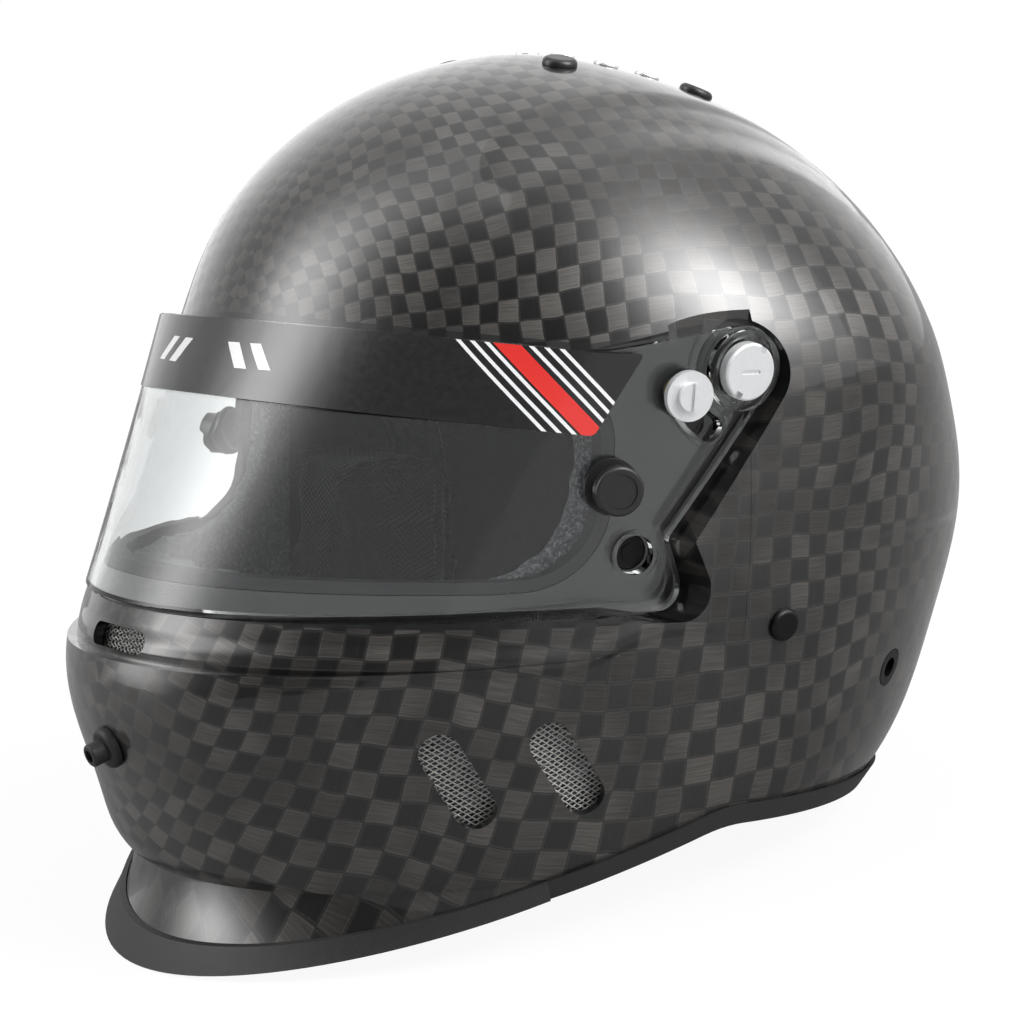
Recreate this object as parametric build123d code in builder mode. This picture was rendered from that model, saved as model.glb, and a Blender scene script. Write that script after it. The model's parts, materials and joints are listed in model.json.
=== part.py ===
"""Full face auto racing helmet, modelled piece by piece.

Everything is built level, in the frame of the head: +X is the wearer's left, -Y the face, +Z the crown,
and the origin lies in the middle of the head at the height of the visor's pivots. At the end every piece is
tilted back together, so that the chin lip and the nape stand on the ground, with the origin on the ground
below the middle.
"""
from build123d import *
import math
import os

os.makedirs("parts", exist_ok=True)

# Overall sizes, from the origin
crown_height = 89.6
chin_depth = 150.0
shell_half_width = 122.5
chin_reach = 132.0
nape_reach = 156.5
widest_back = 42.0
overrun = 60.0
rest_tilt = 9.2

# Shell
shell_wall = 3.4
clearance = 0.3
rim_front_y = -122.0
rim_front_z = -171.0
rim_knee_y = 8.0
rim_knee_z = -128.5
rim_back_y = 118.0
rim_back_z = -132.0
rim_knee_radius = 40.0
groove_front_z = -147.5
groove_side_z = -141.0
groove_side_y = -44.0
lip_half_width = 104.5
lip_reach = 120.0
lip_flare = 10.5
lip_flare_side = 5.5
lip_centre_y = -5.0
lip_back = 96.0
ledge_depth = 3.2
ledge_front_z = -82.5
ledge_side_z = -75.0
ledge_side_y = 6.0

# Eyeport
port_top_z = 3.0
port_bottom_z = -60.5
port_back_y = -27.0
port_corner = 24.0

# Visor, a conical sheet
visor_wall = 3.0
visor_upper_z = 40.0
visor_lower_z = -90.0
visor_upper_half_width = 121.9
visor_lower_half_width = 102.3
visor_upper_reach = 80.7
visor_lower_reach = 136.6
visor_centre_y = 13.3
visor_back_reach = 213.0
visor_gap = 0.6
pocket_margin = 1.8
pan_wall = 2.4
side_gap = 2.4
side_pocket_y = -54.0
swing_gap = 0.6
swing_front_y = -14.0
swing_back_y = 10.0
swing_low_z = 8.0
swing_high_z = 20.0
seal_width = 3.6
seal_depth = 4.0

# Visor outline in side view
visor_front_top_z = 13.4
visor_brow_y = -100.0
visor_temple_y = -34.0
visor_temple_z = 5.6
visor_rear_radius = 12.0
visor_notch_y = -12.8
visor_notch_z = -46.4
visor_lobe_y = -7.6
visor_lobe_back_z = -58.5
visor_lobe_z = -67.2
visor_lobe_radius = 6.0
visor_heel_y = -21.0
visor_heel_z = -66.8
visor_side_bottom_y = -32.0
visor_side_bottom_z = -64.7
visor_cheek_y = -60.0
visor_front_bottom_z = -68.8
soft_corner = 30.0
small_corner = 2.5

# Black strip on the visor
strip_film = 0.35
strip_front_z = 2.2
strip_side_z = -17.5
strip_back_y = -36.0
strip_tip_y = -23.5
strip_tip_z = 5.2
strip_tip_round = 1.2
film_gap = 0.1

# Pivots
pivot_y = 5.5
visor_travel = 38.0
pivot_disc_radius = 8.1
pivot_disc_height = 3.4
pivot_disc_round = 0.8
pivot_float = 1.2
pivot_boss_radius = 11.4
pivot_boss_wall = 1.9
pivot_boss_height = 2.4
pivot_stem_radius = 3.0
pivot_hole_radius = 3.9
pivot_notch = 2.2
pivot_notch_angle = 62.0
pivot_mark_length = 6.4
pivot_mark_width = 1.2
pivot_mark_depth = 0.4
bush_radius = 5.0
bush_flange_radius = 8.0
bush_flange_height = 2.0

# Stop screws in their arc slots, the slot's angles counted down from straight ahead
stop_radius = 18.4
stop_angle = 20.0
slot_sweep = 42.0
slot_half_width = 3.7
slot_rim = 1.9
slot_rim_height = 0.5
stop_float = 1.7
stop_washer_radius = 7.0
stop_washer_height = 2.0
stop_head_radius = 3.9
stop_head_height = 1.7
stop_stem_radius = 2.0
stop_sleeve_radius = 2.9
screw_slot = 1.0
insert_wall = 1.9
insert_length = 5.0

# Lock studs
lock_y = -22.7
lock_z = -50.5
lock_stud_radius = 5.2
lock_stem_radius = 2.3
lock_edge = 0.6
lock_hole_radius = 5.6
lock_rim = 1.5
lock_rim_height = 0.6
lock_socket_radius = 1.6
lock_socket_depth = 1.5

# Posts for tear off films
post_y = -31.0
post_z = -31.0
post_base_radius = 7.8
post_base_height = 1.6
post_waist_radius = 4.4
post_height = 8.8
post_head_radius = 6.9
post_head_height = 3.4
post_head_round = 0.9
post_stem_radius = 2.4
post_nut_radius = 6.4
post_nut_height = 1.4
post_inset_radius = 4.9
post_inset = 0.4

# Edge trim
trim_height = 4.2
trim_proud = 1.7
trim_under = 1.6
trim_inner = 1.5

# Vents and port in the chin
vent_length = 31.0
vent_width = 12.0
vent_tilt = 54.0
vent_front_y = -70.5
vent_front_z = -111.0
vent_back_y = -42.8
vent_back_z = -108.5
mesh_margin = 1.8
mesh_plate = 0.9
mesh_pitch = 3.1
mesh_strand = 0.7
chin_mesh_sink = 1.1
slot_mesh_sink = 1.9
slot_vent_width = 30.0
slot_vent_height = 6.8
slot_vent_z = -77.2
port_tube_z = -108.5
grommet_radius = 6.2
grommet_height = 2.6
grommet_neck_radius = 4.6
nozzle_radius = 3.4
nozzle_height = 4.6
nozzle_bore = 1.9
nozzle_round = 0.8
grommet_round = 1.6
grommet_lip = 1.2

# Fasteners in the shell
rivet_y = 19.5
rivet_z = -72.0
rivet_radius = 4.8
rivet_dome = 1.8
rivet_stem_radius = 2.2
rivet_dome_round = 1.4
rivet_tail_radius = 3.6
rivet_tail = 1.0
strap_plate_thickness = 1.2
strap_plate_length = 22.0
strap_plate_width = 16.0
strap_plate_round = 3.0
anchor_y = 74.0
anchor_z = -92.0
anchor_thread_radius = 3.0
anchor_body_radius = 4.3
anchor_flange_radius = 5.6
anchor_flange = 0.8
anchor_depth = 9.0
anchor_thread_depth = 8.0
plug_front_x = 28.4
plug_front_y = 8.5
plug_back_x = 35.5
plug_back_y = 55.0
plug_radius = 5.3
plug_dome = 2.2
plug_stem_radius = 3.0
dome_share = 0.8
crown_ring_y = 43.5
crown_ring_radius = 26.0
crown_rivet_radius = 3.9
crown_rivet_dome = 1.1
crown_rivet_stem = 1.6
crown_rivet_step = 30.0
crown_rivet_count = 7

# Energy absorbing liner and the padding inside it
liner_side = 29.0
liner_front = 16.0
liner_back = 20.0
liner_top = 28.0
liner_recess = 11.0
comfort_layer = 6.0
comfort_margin = 3.0
soft_clearance = 0.5
brow_z = 9.5
brow_back_y = -20.0
temple_z = -36.0
temple_back_y = 44.0
nape_z = -98.0
felt_top_z = -58.5
felt_front_y = -29.0
felt_bend_round = 32.0
felt_tip_z = -5.0
felt_tip_round = 5.0
felt_back_y = -14.0
felt_bottom_z = -134.0
felt_outer = 7.3
felt_thickness = 20.0
cheek_front_y = -12.5
cheek_back_y = 36.0
cheek_top_z = -38.0
cheek_bottom_z = -114.0
cheek_front_bottom_z = -118.0
cheek_inner_half_width = 60.0
cheek_corner = 14.0
cheek_round = 9.0
roll_thickness = 24.0
roll_top_z = -99.5
roll_bottom_z = -123.0
roll_front_y = 42.0

# Chin strap with its two rings and press stud
strap_width = 25.0
strap_thickness = 2.0
strap_top_z = -58.0
strap_sag = 0.7
strap_middle_z = -92.0
strap_low_z = -117.0
strap_low_depth = 2.6
strap_turn_in = 9.0
strap_turn_z = -127.5
strap_bend = 12.0
strap_level_z = -132.0
strap_level_x = 62.0
ring_wire = 1.5
ring_near_x = 31.0
ring_far_x = 11.0
ring_width = 33.0
ring_corner = 4.0
strap_tail_end_x = -66.0
snap_x = -52.0
snap_radius = 5.6
snap_cap = 1.4
snap_stem_radius = 2.0

# Levels of the shell from the chin up: height as a share of the chin depth below the axis or of the crown
# height above it, then half width, reach to the front, reach to the back and the widest place, as shares
# of their sizes
level_shares = (
    (-1.0, 0.824, 0.833, 0.738, 0.286),
    (-0.833, 0.878, 0.939, 0.827, 0.405),
    (-0.667, 0.922, 1.0, 0.927, 0.524),
    (-0.5, 0.963, 0.985, 0.971, 0.643),
    (-0.333, 0.992, 0.885, 1.0, 0.762),
    (-0.167, 1.0, 0.795, 0.968, 0.881),
    (0.0, 0.996, 0.705, 0.882, 1.0),
    (0.342, 0.882, 0.617, 0.802, 0.81),
    (0.616, 0.708, 0.492, 0.674, 0.619),
    (0.809, 0.512, 0.333, 0.508, 0.476),
    (0.927, 0.308, 0.167, 0.335, 0.381),
    (0.985, 0.145, 0.019, 0.198, 0.31),
    (0.9989, 0.04, -0.061, 0.102, 0.286),
)


def egg(height, half_width, front, back, widest):
    """Egg-shaped face at one height: a front and a back half ellipse that meet at the widest place."""
    with BuildSketch(Plane.XY.offset(height)) as face:
        with BuildLine():
            EllipticalCenterArc((0, widest), half_width, widest - front, start_angle=180, arc_size=180)
            EllipticalCenterArc((0, widest), half_width, back - widest, start_angle=0, arc_size=180)
        make_face()
    return face.sketch


def barrel(side=0, front=0, back=0, top=0):
    """The shell's closed outer form, drawn in from each side by the given depth."""
    with BuildPart() as form:
        for height_share, width_share, front_share, back_share, widest_share in level_shares:
            height = height_share * (crown_height - top if height_share > 0 else chin_depth)
            add(egg(
                height,
                width_share * (shell_half_width - side),
                -front_share * (chin_reach - front),
                back_share * (nape_reach - back),
                widest_share * widest_back,
            ))
        loft()
    return form.part


def even_barrel(depth):
    return barrel(depth, depth, depth, depth)


def side_view(*corners):
    """Closed outline seen from the side; each corner is (back, up) or (back, up, rounding radius)."""
    with BuildSketch() as outline:
        with BuildLine():
            Polyline(*[corner[:2] for corner in corners], close=True)
        make_face()
        for corner in corners:
            if len(corner) == 3:
                fillet(outline.vertices().sort_by_distance(corner[:2])[0], radius=corner[2])
    return Plane.YZ * outline.sketch


def across(outline, grow=0):
    """Solid that runs right across the helmet, with the given side view."""
    with BuildPart() as block:
        with BuildSketch(Plane.YZ) as profile:
            add(Plane.YZ.to_local_coords(outline))
            if grow:
                offset(amount=grow, kind=Kind.ARC)
        extrude(amount=shell_half_width + overrun, both=True)
    return block.part


def rim_line(raised=0):
    """Side view of everything below the shell's lower edge, or below that edge raised by the given amount."""
    front_slope = (rim_knee_z - rim_front_z) / (rim_knee_y - rim_front_y)
    back_slope = (rim_back_z - rim_knee_z) / (rim_back_y - rim_knee_y)
    far_front = rim_front_y - overrun
    far_back = rim_back_y + overrun
    floor = rim_front_z - overrun
    return side_view(
        (far_front, rim_front_z - overrun * front_slope + raised),
        (rim_knee_y, rim_knee_z + raised, rim_knee_radius),
        (far_back, rim_back_z + overrun * back_slope + raised),
        (far_back, floor),
        (far_front, floor),
    )


def chin_flare(depth):
    """Skirt of the chin lip, waisted at the groove and flared at the rim, drawn in by the given depth."""
    flare_shares = ((-0.45, 0.02), (0.0, 0.0), (0.45, 0.22), (1.0, 1.0), (1.4, 1.9))
    with BuildPart() as skirt:
        for drop_share, flare_share in flare_shares:
            add(egg(
                groove_front_z + drop_share * (rim_front_z - groove_front_z),
                lip_half_width + lip_flare_side * (flare_share - 1) - depth,
                depth - lip_reach - lip_flare * (flare_share - 1),
                lip_back - depth,
                lip_centre_y,
            ))
        loft()
    return skirt.part


def shell_form(depth):
    """Closed outer form of the shell, with its chin lip and its ledge, drawn in by the given depth."""
    ledge_region = across(side_view(
        (reach_front, ledge_front_z - depth),
        (rim_front_y, ledge_front_z - depth),
        (ledge_side_y, ledge_side_z - depth),
        (ledge_side_y, port_top_z),
        (reach_front, port_top_z),
    ))
    with BuildPart() as form:
        add(even_barrel(depth))
        add(below_groove, mode=Mode.SUBTRACT)
        add(ledge_region - barrel(depth, depth + ledge_depth, depth, depth), mode=Mode.SUBTRACT)
        add(chin_flare(depth) & below_groove)
    return form.part


def visor_cone(depth=0):
    """Closed cone whose outside is the visor's outer face, drawn in by the given depth."""
    with BuildPart() as cone:
        for height, half_width, reach in (
            (visor_upper_z, visor_upper_half_width, visor_upper_reach),
            (visor_lower_z, visor_lower_half_width, visor_lower_reach),
        ):
            add(egg(height, half_width - depth, depth - reach, visor_back_reach - depth, visor_centre_y))
        loft(ruled=True)
    return cone.part


def on_surface(form, side, y, z):
    """Plane on the form's outer side at the given place in side view, facing out."""
    hits = form.find_intersection_points(Axis((0, y, z), (side, 0, 0)))
    place, facing = max(hits, key=lambda hit: hit[0].X * side)
    return Plane(origin=place, x_dir=(0, 1, 0), z_dir=facing)


def on_crown(form, x, y):
    """Plane on the top of the form above the given place, facing out."""
    hits = form.find_intersection_points(Axis((x, y, 0), (0, 0, 1)))
    place, facing = max(hits, key=lambda hit: hit[0].Z)
    return Plane(origin=place, x_dir=(1, 0, 0), z_dir=facing)


def on_front(form, x, z):
    """Plane on the front of the form at the given place seen from ahead, facing out."""
    hits = form.find_intersection_points(Axis((x, 0, z), (0, -1, 0)))
    place, facing = min(hits, key=lambda hit: hit[0].Y)
    return Plane(origin=place, x_dir=(1, 0, 0), z_dir=facing)


def disc(plane, radius, height, lift=0):
    """Plain round solid standing on a plane, lifted off it by the given amount."""
    with BuildPart() as body:
        with BuildSketch(plane.offset(lift)):
            Circle(radius)
        extrude(amount=height)
    return body.part


sides = {"left": 1, "right": -1}
reach_front = -chin_reach - overrun
reach_back = nape_reach + overrun


def tangent_angle(start, turn):
    """Direction, in side view, of the line from a place that just touches the visor's round rear end."""
    away = math.hypot(pivot_y - start[0], start[1])
    return math.atan2(-start[1], pivot_y - start[0]) + turn * math.asin(visor_rear_radius / away)


def meeting_point(angle, start, other_angle, other_start):
    """Place, in side view, where two lines given by a direction and a start meet."""
    gap_y = other_start[0] - start[0]
    gap_z = other_start[1] - start[1]
    reach = gap_y * math.sin(other_angle) - gap_z * math.cos(other_angle)
    reach /= math.sin(other_angle - angle)
    return start[0] + reach * math.cos(angle), start[1] + reach * math.sin(angle)


# Outlines in side view
visor_outline = side_view(
    (reach_front, visor_front_top_z),
    (visor_brow_y, visor_front_top_z, soft_corner),
    (visor_temple_y, visor_temple_z, soft_corner),
    meeting_point(
        tangent_angle((visor_temple_y, visor_temple_z), 1),
        (visor_temple_y, visor_temple_z),
        tangent_angle((visor_notch_y, visor_notch_z), -1),
        (visor_notch_y, visor_notch_z),
    ) + (visor_rear_radius,),
    (visor_notch_y, visor_notch_z, small_corner),
    (visor_lobe_y, visor_lobe_back_z, visor_lobe_radius),
    (visor_lobe_y, visor_lobe_z, visor_lobe_radius),
    (visor_heel_y, visor_heel_z, small_corner),
    (visor_side_bottom_y, visor_side_bottom_z, small_corner),
    (visor_cheek_y, visor_side_bottom_z, soft_corner),
    (reach_front, visor_front_bottom_z),
)
port_outline = side_view(
    (reach_front, port_top_z),
    (port_back_y, port_top_z, port_corner),
    (port_back_y, port_bottom_z, port_corner),
    (reach_front, port_bottom_z),
)
below_groove = across(side_view(
    (reach_front, groove_front_z),
    (rim_front_y, groove_front_z),
    (groove_side_y, groove_side_z),
    (groove_side_y + lip_flare, rim_front_z - overrun),
    (reach_front, rim_front_z - overrun),
))
below_rim = across(rim_line())

# Forms that the pieces are cut from
outer_form = shell_form(0)
inner_form = shell_form(shell_wall)
visor_face = visor_cone()
visor_back = visor_cone(visor_wall)
front_floor = visor_wall + visor_gap
side_floor = visor_wall + side_gap
side_pan = side_floor + pan_wall

# Pocket that the visor sits in, deeper at the sides, and the block behind it that the cavity leaves
# standing as its floor
side_band = across(side_view(
    (side_pocket_y, visor_front_top_z + overrun),
    (reach_back, visor_front_top_z + overrun),
    (reach_back, visor_front_bottom_z - overrun),
    (side_pocket_y, visor_front_bottom_z - overrun),
))
with BuildPart() as floor_face:
    add(visor_cone(front_floor))
    add(side_band - visor_cone(side_floor), mode=Mode.SUBTRACT)
with BuildPart() as floor_back:
    add(visor_cone(front_floor + pan_wall))
    add(Pos(0, -pan_wall, 0) * side_band - visor_cone(side_pan), mode=Mode.SUBTRACT)
pocket = across(visor_outline, pocket_margin) - floor_face.part
pocket_floor = across(visor_outline, pocket_margin + pan_wall) - floor_back.part

# The raised visor's arms swing past the pocket's upper edge, which is cut back for them
raised_back = visor_cone(visor_wall + swing_gap).rotate(Axis((0, pivot_y, 0), (-1, 0, 0)), visor_travel)
swing_room = across(side_view(
    (swing_front_y, swing_low_z),
    (swing_back_y, swing_low_z),
    (swing_back_y, swing_high_z),
    (swing_front_y, swing_high_z),
)) - raised_back

# Places on the shell and the visor
def side_places(form, y, z):
    return {name: on_surface(form, side, y, z) for name, side in sides.items()}


def below_ahead(angle):
    """Place on the stop screw's circle round the pivot, at an angle below straight ahead, in side view."""
    turn = math.radians(angle)
    return pivot_y - stop_radius * math.cos(turn), -stop_radius * math.sin(turn)


stop_y, stop_z = below_ahead(stop_angle)
pivots = side_places(visor_face, pivot_y, 0)
stops = side_places(visor_face, stop_y, stop_z)
locks = side_places(visor_face, lock_y, lock_z)
posts = side_places(visor_face, post_y, post_z)
rivets = side_places(outer_form, rivet_y, rivet_z)
anchors = side_places(outer_form, anchor_y, anchor_z)
vents = [
    on_surface(outer_form, side, y, z)
    for side in sides.values()
    for y, z in ((vent_front_y, vent_front_z), (vent_back_y, vent_back_z))
]
slot_vent = on_front(outer_form, 0, slot_vent_z)
port_tube = on_front(outer_form, 0, port_tube_z)
plugs = [
    on_crown(outer_form, side * x, y)
    for side in sides.values()
    for x, y in ((plug_front_x, plug_front_y), (plug_back_x, plug_back_y))
]
crown_rivet_places = []
for number in range(crown_rivet_count):
    turn = math.radians(crown_rivet_step * (number - (crown_rivet_count - 1) / 2))
    crown_rivet_places.append(on_crown(
        outer_form,
        crown_ring_radius * math.sin(turn),
        crown_ring_y - crown_ring_radius * math.cos(turn),
    ))


def pill(plane, length, width, tilt, depth, lift=0, grow=0):
    """Solid with a pill shaped outline, sunk into the plane from the given lift."""
    with BuildPart() as body:
        with BuildSketch(plane.offset(lift)):
            with Locations(Rotation(0, 0, tilt)):
                SlotOverall(length + 2 * grow, width + 2 * grow)
        extrude(amount=-depth)
    return body.part


def tilt_on(plane, slope):
    """Angle in the plane of a line that falls to the back by the given slope, seen from the side."""
    back_and_down = Vector(0, math.cos(math.radians(slope)), -math.sin(math.radians(slope)))
    local = plane.to_local_coords(plane.origin + back_and_down)
    return math.degrees(math.atan2(local.Y, local.X))


# Shell, with its holes cut through from outside
through = shell_wall + side_pan + overrun / 4
with BuildPart() as outer_shell:
    add(outer_form)
    add(inner_form - pocket_floor, mode=Mode.SUBTRACT)
    add(pocket, mode=Mode.SUBTRACT)
    add(swing_room, mode=Mode.SUBTRACT)
    add(across(port_outline), mode=Mode.SUBTRACT)
    add(below_rim, mode=Mode.SUBTRACT)
    for plane in vents:
        lean = tilt_on(plane, vent_tilt)
        add(pill(plane, vent_length, vent_width, lean, through, shell_wall), mode=Mode.SUBTRACT)
    add(pill(slot_vent, slot_vent_width, slot_vent_height, 0, through, shell_wall), mode=Mode.SUBTRACT)
    for plane in pivots.values():
        add(disc(plane, bush_radius + clearance, through, -through), mode=Mode.SUBTRACT)
    for plane in stops.values():
        add(disc(plane, stop_stem_radius + insert_wall + clearance, through, -through), mode=Mode.SUBTRACT)
    for plane in locks.values():
        add(disc(plane, lock_stem_radius + clearance, through, -through), mode=Mode.SUBTRACT)
    for plane in rivets.values():
        add(disc(plane, rivet_stem_radius + clearance, through, -through + shell_wall), mode=Mode.SUBTRACT)
    for plane in anchors.values():
        add(disc(plane, anchor_body_radius + clearance, through, -through + shell_wall), mode=Mode.SUBTRACT)
        add(disc(plane, anchor_flange_radius + clearance, through, -anchor_flange), mode=Mode.SUBTRACT)
    for plane in plugs:
        add(disc(plane, plug_stem_radius + clearance, through, -through + shell_wall), mode=Mode.SUBTRACT)
    for plane in crown_rivet_places:
        add(disc(plane, crown_rivet_stem + clearance, through, -through + shell_wall), mode=Mode.SUBTRACT)
    add(disc(port_tube, grommet_neck_radius + clearance, through, -through + shell_wall), mode=Mode.SUBTRACT)


# Rubber trim clipped over the shell's lower edge
def lower_form(depth):
    """The shell's form near its lower edge, drawn in by the given depth."""
    with BuildPart() as form:
        add(even_barrel(depth))
        add(below_groove, mode=Mode.SUBTRACT)
        add(chin_flare(depth) & below_groove)
    return form.part


trim_band = across(rim_line(trim_height)) - across(rim_line(-trim_under))
with BuildPart() as edge_trim:
    add(lower_form(-trim_proud) & trim_band)
    add(lower_form(shell_wall + trim_inner), mode=Mode.SUBTRACT)
    add((lower_form(-clearance) - lower_form(shell_wall + clearance)) - below_rim, mode=Mode.SUBTRACT)


# Visor
def arc_slot(half_width):
    """Side view of the slot round the pivot that the stop screw runs in."""
    with BuildSketch() as outline:
        SlotArc(CenterArc((pivot_y, 0), stop_radius, 180 + stop_angle, slot_sweep), 2 * half_width)
    return Plane.YZ * outline.sketch


with BuildPart() as visor:
    add((visor_face - visor_back) & across(visor_outline))
    for plane in pivots.values():
        add(disc(plane, pivot_boss_radius, pivot_boss_height + visor_wall / 2, -visor_wall / 2))
    add((visor_cone(-slot_rim_height) - visor_back) & across(arc_slot(slot_half_width + slot_rim)))
    for plane in locks.values():
        add(disc(plane, lock_hole_radius + lock_rim, lock_rim_height + visor_wall / 2, -visor_wall / 2))
    for plane in pivots.values():
        add(disc(plane, pivot_boss_radius - pivot_boss_wall, overrun), mode=Mode.SUBTRACT)
        add(disc(plane, pivot_hole_radius, overrun, -overrun / 2), mode=Mode.SUBTRACT)
    add(across(arc_slot(slot_half_width)), mode=Mode.SUBTRACT)
    for plane in locks.values():
        add(disc(plane, lock_hole_radius, overrun, -overrun / 2), mode=Mode.SUBTRACT)
    for plane in posts.values():
        add(disc(plane, post_stem_radius + clearance, overrun, -overrun / 2), mode=Mode.SUBTRACT)

strip_outline = side_view(
    (reach_front, visor_front_top_z),
    (visor_brow_y, visor_front_top_z, soft_corner),
    (visor_temple_y, visor_temple_z, small_corner),
    (strip_tip_y, strip_tip_z, strip_tip_round),
    (strip_back_y, strip_side_z, small_corner),
    (reach_front, strip_front_z),
)
with BuildPart() as tint_strip:
    add((visor_cone(-strip_film - film_gap) - visor_cone(-film_gap)) & across(strip_outline, -clearance))

# Seal round the eyeport
with BuildPart() as eyeport_seal:
    add(across(port_outline, -clearance) - across(port_outline, -seal_width))
    add(floor_face.part, mode=Mode.INTERSECT)
    add(visor_cone(side_floor + seal_depth), mode=Mode.SUBTRACT)


# Turned pieces at the visor's sides
def domed(plane, radius, height, rounding, lift=0):
    """Round head standing on a plane, with its outer edge rounded."""
    with BuildPart() as head:
        with BuildSketch(plane.offset(lift)):
            Circle(radius)
        extrude(amount=height)
        far_out = plane.origin + plane.z_dir * overrun
        top = head.faces().filter_by(GeomType.PLANE).sort_by_distance(far_out)[0]
        fillet(top.edges(), rounding)
    return head.part


def pivot_screw(plane):
    """Disc with two notches in its edge and a bar mark across it, on a stem that ends in the bush."""
    with BuildPart() as screw:
        add(domed(plane, pivot_disc_radius, pivot_disc_height, pivot_disc_round, pivot_float))
        add(disc(plane, pivot_stem_radius, bush_end + pivot_float + pivot_disc_height / 2, -bush_end))
        with BuildSketch(plane.offset(pivot_float + pivot_disc_height)):
            with PolarLocations(pivot_disc_radius - pivot_disc_round, 2, start_angle=pivot_notch_angle):
                Rectangle(pivot_notch, pivot_notch)
        extrude(amount=-pivot_disc_height / 2, mode=Mode.SUBTRACT)
        with BuildSketch(plane.offset(pivot_float + pivot_disc_height)):
            SlotOverall(pivot_mark_length, pivot_mark_width)
        extrude(amount=-pivot_mark_depth, mode=Mode.SUBTRACT)
    return screw.part


def flanged_tube(plane, radius, bore, end, start, flange_radius=0, flange=0):
    """Tube sunk from one depth below the plane to another, with a flange at its deep end."""
    with BuildPart() as tube:
        add(disc(plane, radius, end - start, -end))
        if flange:
            add(disc(plane, flange_radius, flange, -end))
        add(disc(plane, bore, 2 * overrun, -overrun), mode=Mode.SUBTRACT)
    return tube.part


def stop_screw(plane):
    """Slotted screw head on a stem that ends in the insert."""
    top = stop_float + stop_washer_height
    with BuildPart() as screw:
        add(disc(plane, stop_head_radius, stop_head_height, top))
        add(disc(plane, stop_stem_radius, insert_end + top + stop_head_height / 2, -insert_end))
        with BuildSketch(plane.offset(top + stop_head_height)):
            Rectangle(screw_slot, 2 * stop_head_radius + clearance)
        extrude(amount=-stop_head_height / 2, mode=Mode.SUBTRACT)
    return screw.part


def stop_washer(plane):
    """Washer over the slot, with the sleeve that stands on the insert."""
    with BuildPart() as washer:
        add(disc(plane, stop_washer_radius, stop_washer_height, stop_float))
        add(disc(plane, stop_sleeve_radius, side_floor + stop_float, -side_floor))
        add(disc(plane, stop_stem_radius + film_gap, 2 * overrun, -overrun), mode=Mode.SUBTRACT)
    return washer.part


def lock_stud(plane):
    """Stud with a socket in its head, whose stem goes into the pocket's floor."""
    with BuildPart() as stud:
        head_height = side_floor - visor_wall - 2 * clearance
        add(domed(plane, lock_stud_radius, head_height, lock_edge, clearance - side_floor))
        add(disc(plane, lock_stem_radius, side_pan - visor_wall, -side_pan))
        with BuildSketch(plane.offset(-visor_wall - clearance)):
            RegularPolygon(lock_socket_radius, 6)
        extrude(amount=-lock_socket_depth, mode=Mode.SUBTRACT)
    return stud.part


def film_post(plane):
    """Black post on the visor for the loops of tear off films, with a shallow disc let into its head."""
    with BuildPart() as post:
        add(disc(plane, post_base_radius, post_base_height, film_gap))
        add(disc(plane, post_waist_radius, post_height - post_head_height / 2, film_gap))
        head_lift = post_height - post_head_height
        add(domed(plane, post_head_radius, post_head_height, post_head_round, head_lift))
        add(disc(plane, post_stem_radius, post_height / 2 + post_stem_end, -post_stem_end))
        add(disc(plane, post_inset_radius, post_inset, post_height - post_inset), mode=Mode.SUBTRACT)
    return post.part


def strap_rivet(plane):
    """Domed rivet through the shell, the strap and its plate."""
    with BuildPart() as rivet:
        add(domed(plane, rivet_radius, rivet_dome, rivet_dome_round))
        add(disc(plane, rivet_stem_radius, plate_back + rivet_dome / 2, -plate_back))
        add(disc(plane, rivet_tail_radius, rivet_tail, -plate_back - rivet_tail))
    return rivet.part


def strap_plate(plane):
    """Plate that spreads the rivet's load over the strap."""
    with BuildPart() as plate:
        with BuildSketch(plane.offset(-plate_back)):
            RectangleRounded(strap_plate_length, strap_plate_width, strap_plate_round)
            Circle(rivet_stem_radius + film_gap, mode=Mode.SUBTRACT)
        extrude(amount=strap_plate_thickness)
    return plate.part


def anchor_insert(plane):
    """Threaded insert for the neck restraint's post, with its flange flush in the shell."""
    with BuildPart() as insert:
        add(disc(plane, anchor_flange_radius, anchor_flange, -anchor_flange))
        add(disc(plane, anchor_body_radius, anchor_depth, -anchor_depth))
        add(disc(plane, anchor_thread_radius, overrun, -anchor_thread_depth), mode=Mode.SUBTRACT)
    return insert.part


def push_plug(plane, radius, dome, stem_radius):
    """Domed plug or rivet pushed into a hole in the crown."""
    with BuildPart() as plug:
        add(domed(plane, radius, dome, dome * dome_share))
        add(disc(plane, stem_radius, shell_wall + dome / 2, -shell_wall))
    return plug.part


def mesh_plate_at(plane, length, width, tilt, sink):
    """Flat mesh seated behind a pill shaped vent."""
    columns = math.ceil(length / mesh_pitch)
    rows = math.ceil(width / mesh_pitch)
    with BuildSketch() as holes:
        with GridLocations(mesh_pitch, mesh_pitch, columns, rows):
            Rectangle(mesh_pitch - mesh_strand, mesh_pitch - mesh_strand)
        SlotOverall(length, width, mode=Mode.INTERSECT)
    with BuildSketch() as outline:
        SlotOverall(length + 2 * mesh_margin, width + 2 * mesh_margin)
        add(holes.sketch, mode=Mode.SUBTRACT)
    with BuildPart() as plate:
        extrude(plane.offset(-shell_wall - sink) * Rot(0, 0, tilt) * outline.sketch, amount=-mesh_plate)
    return plate.part


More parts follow.
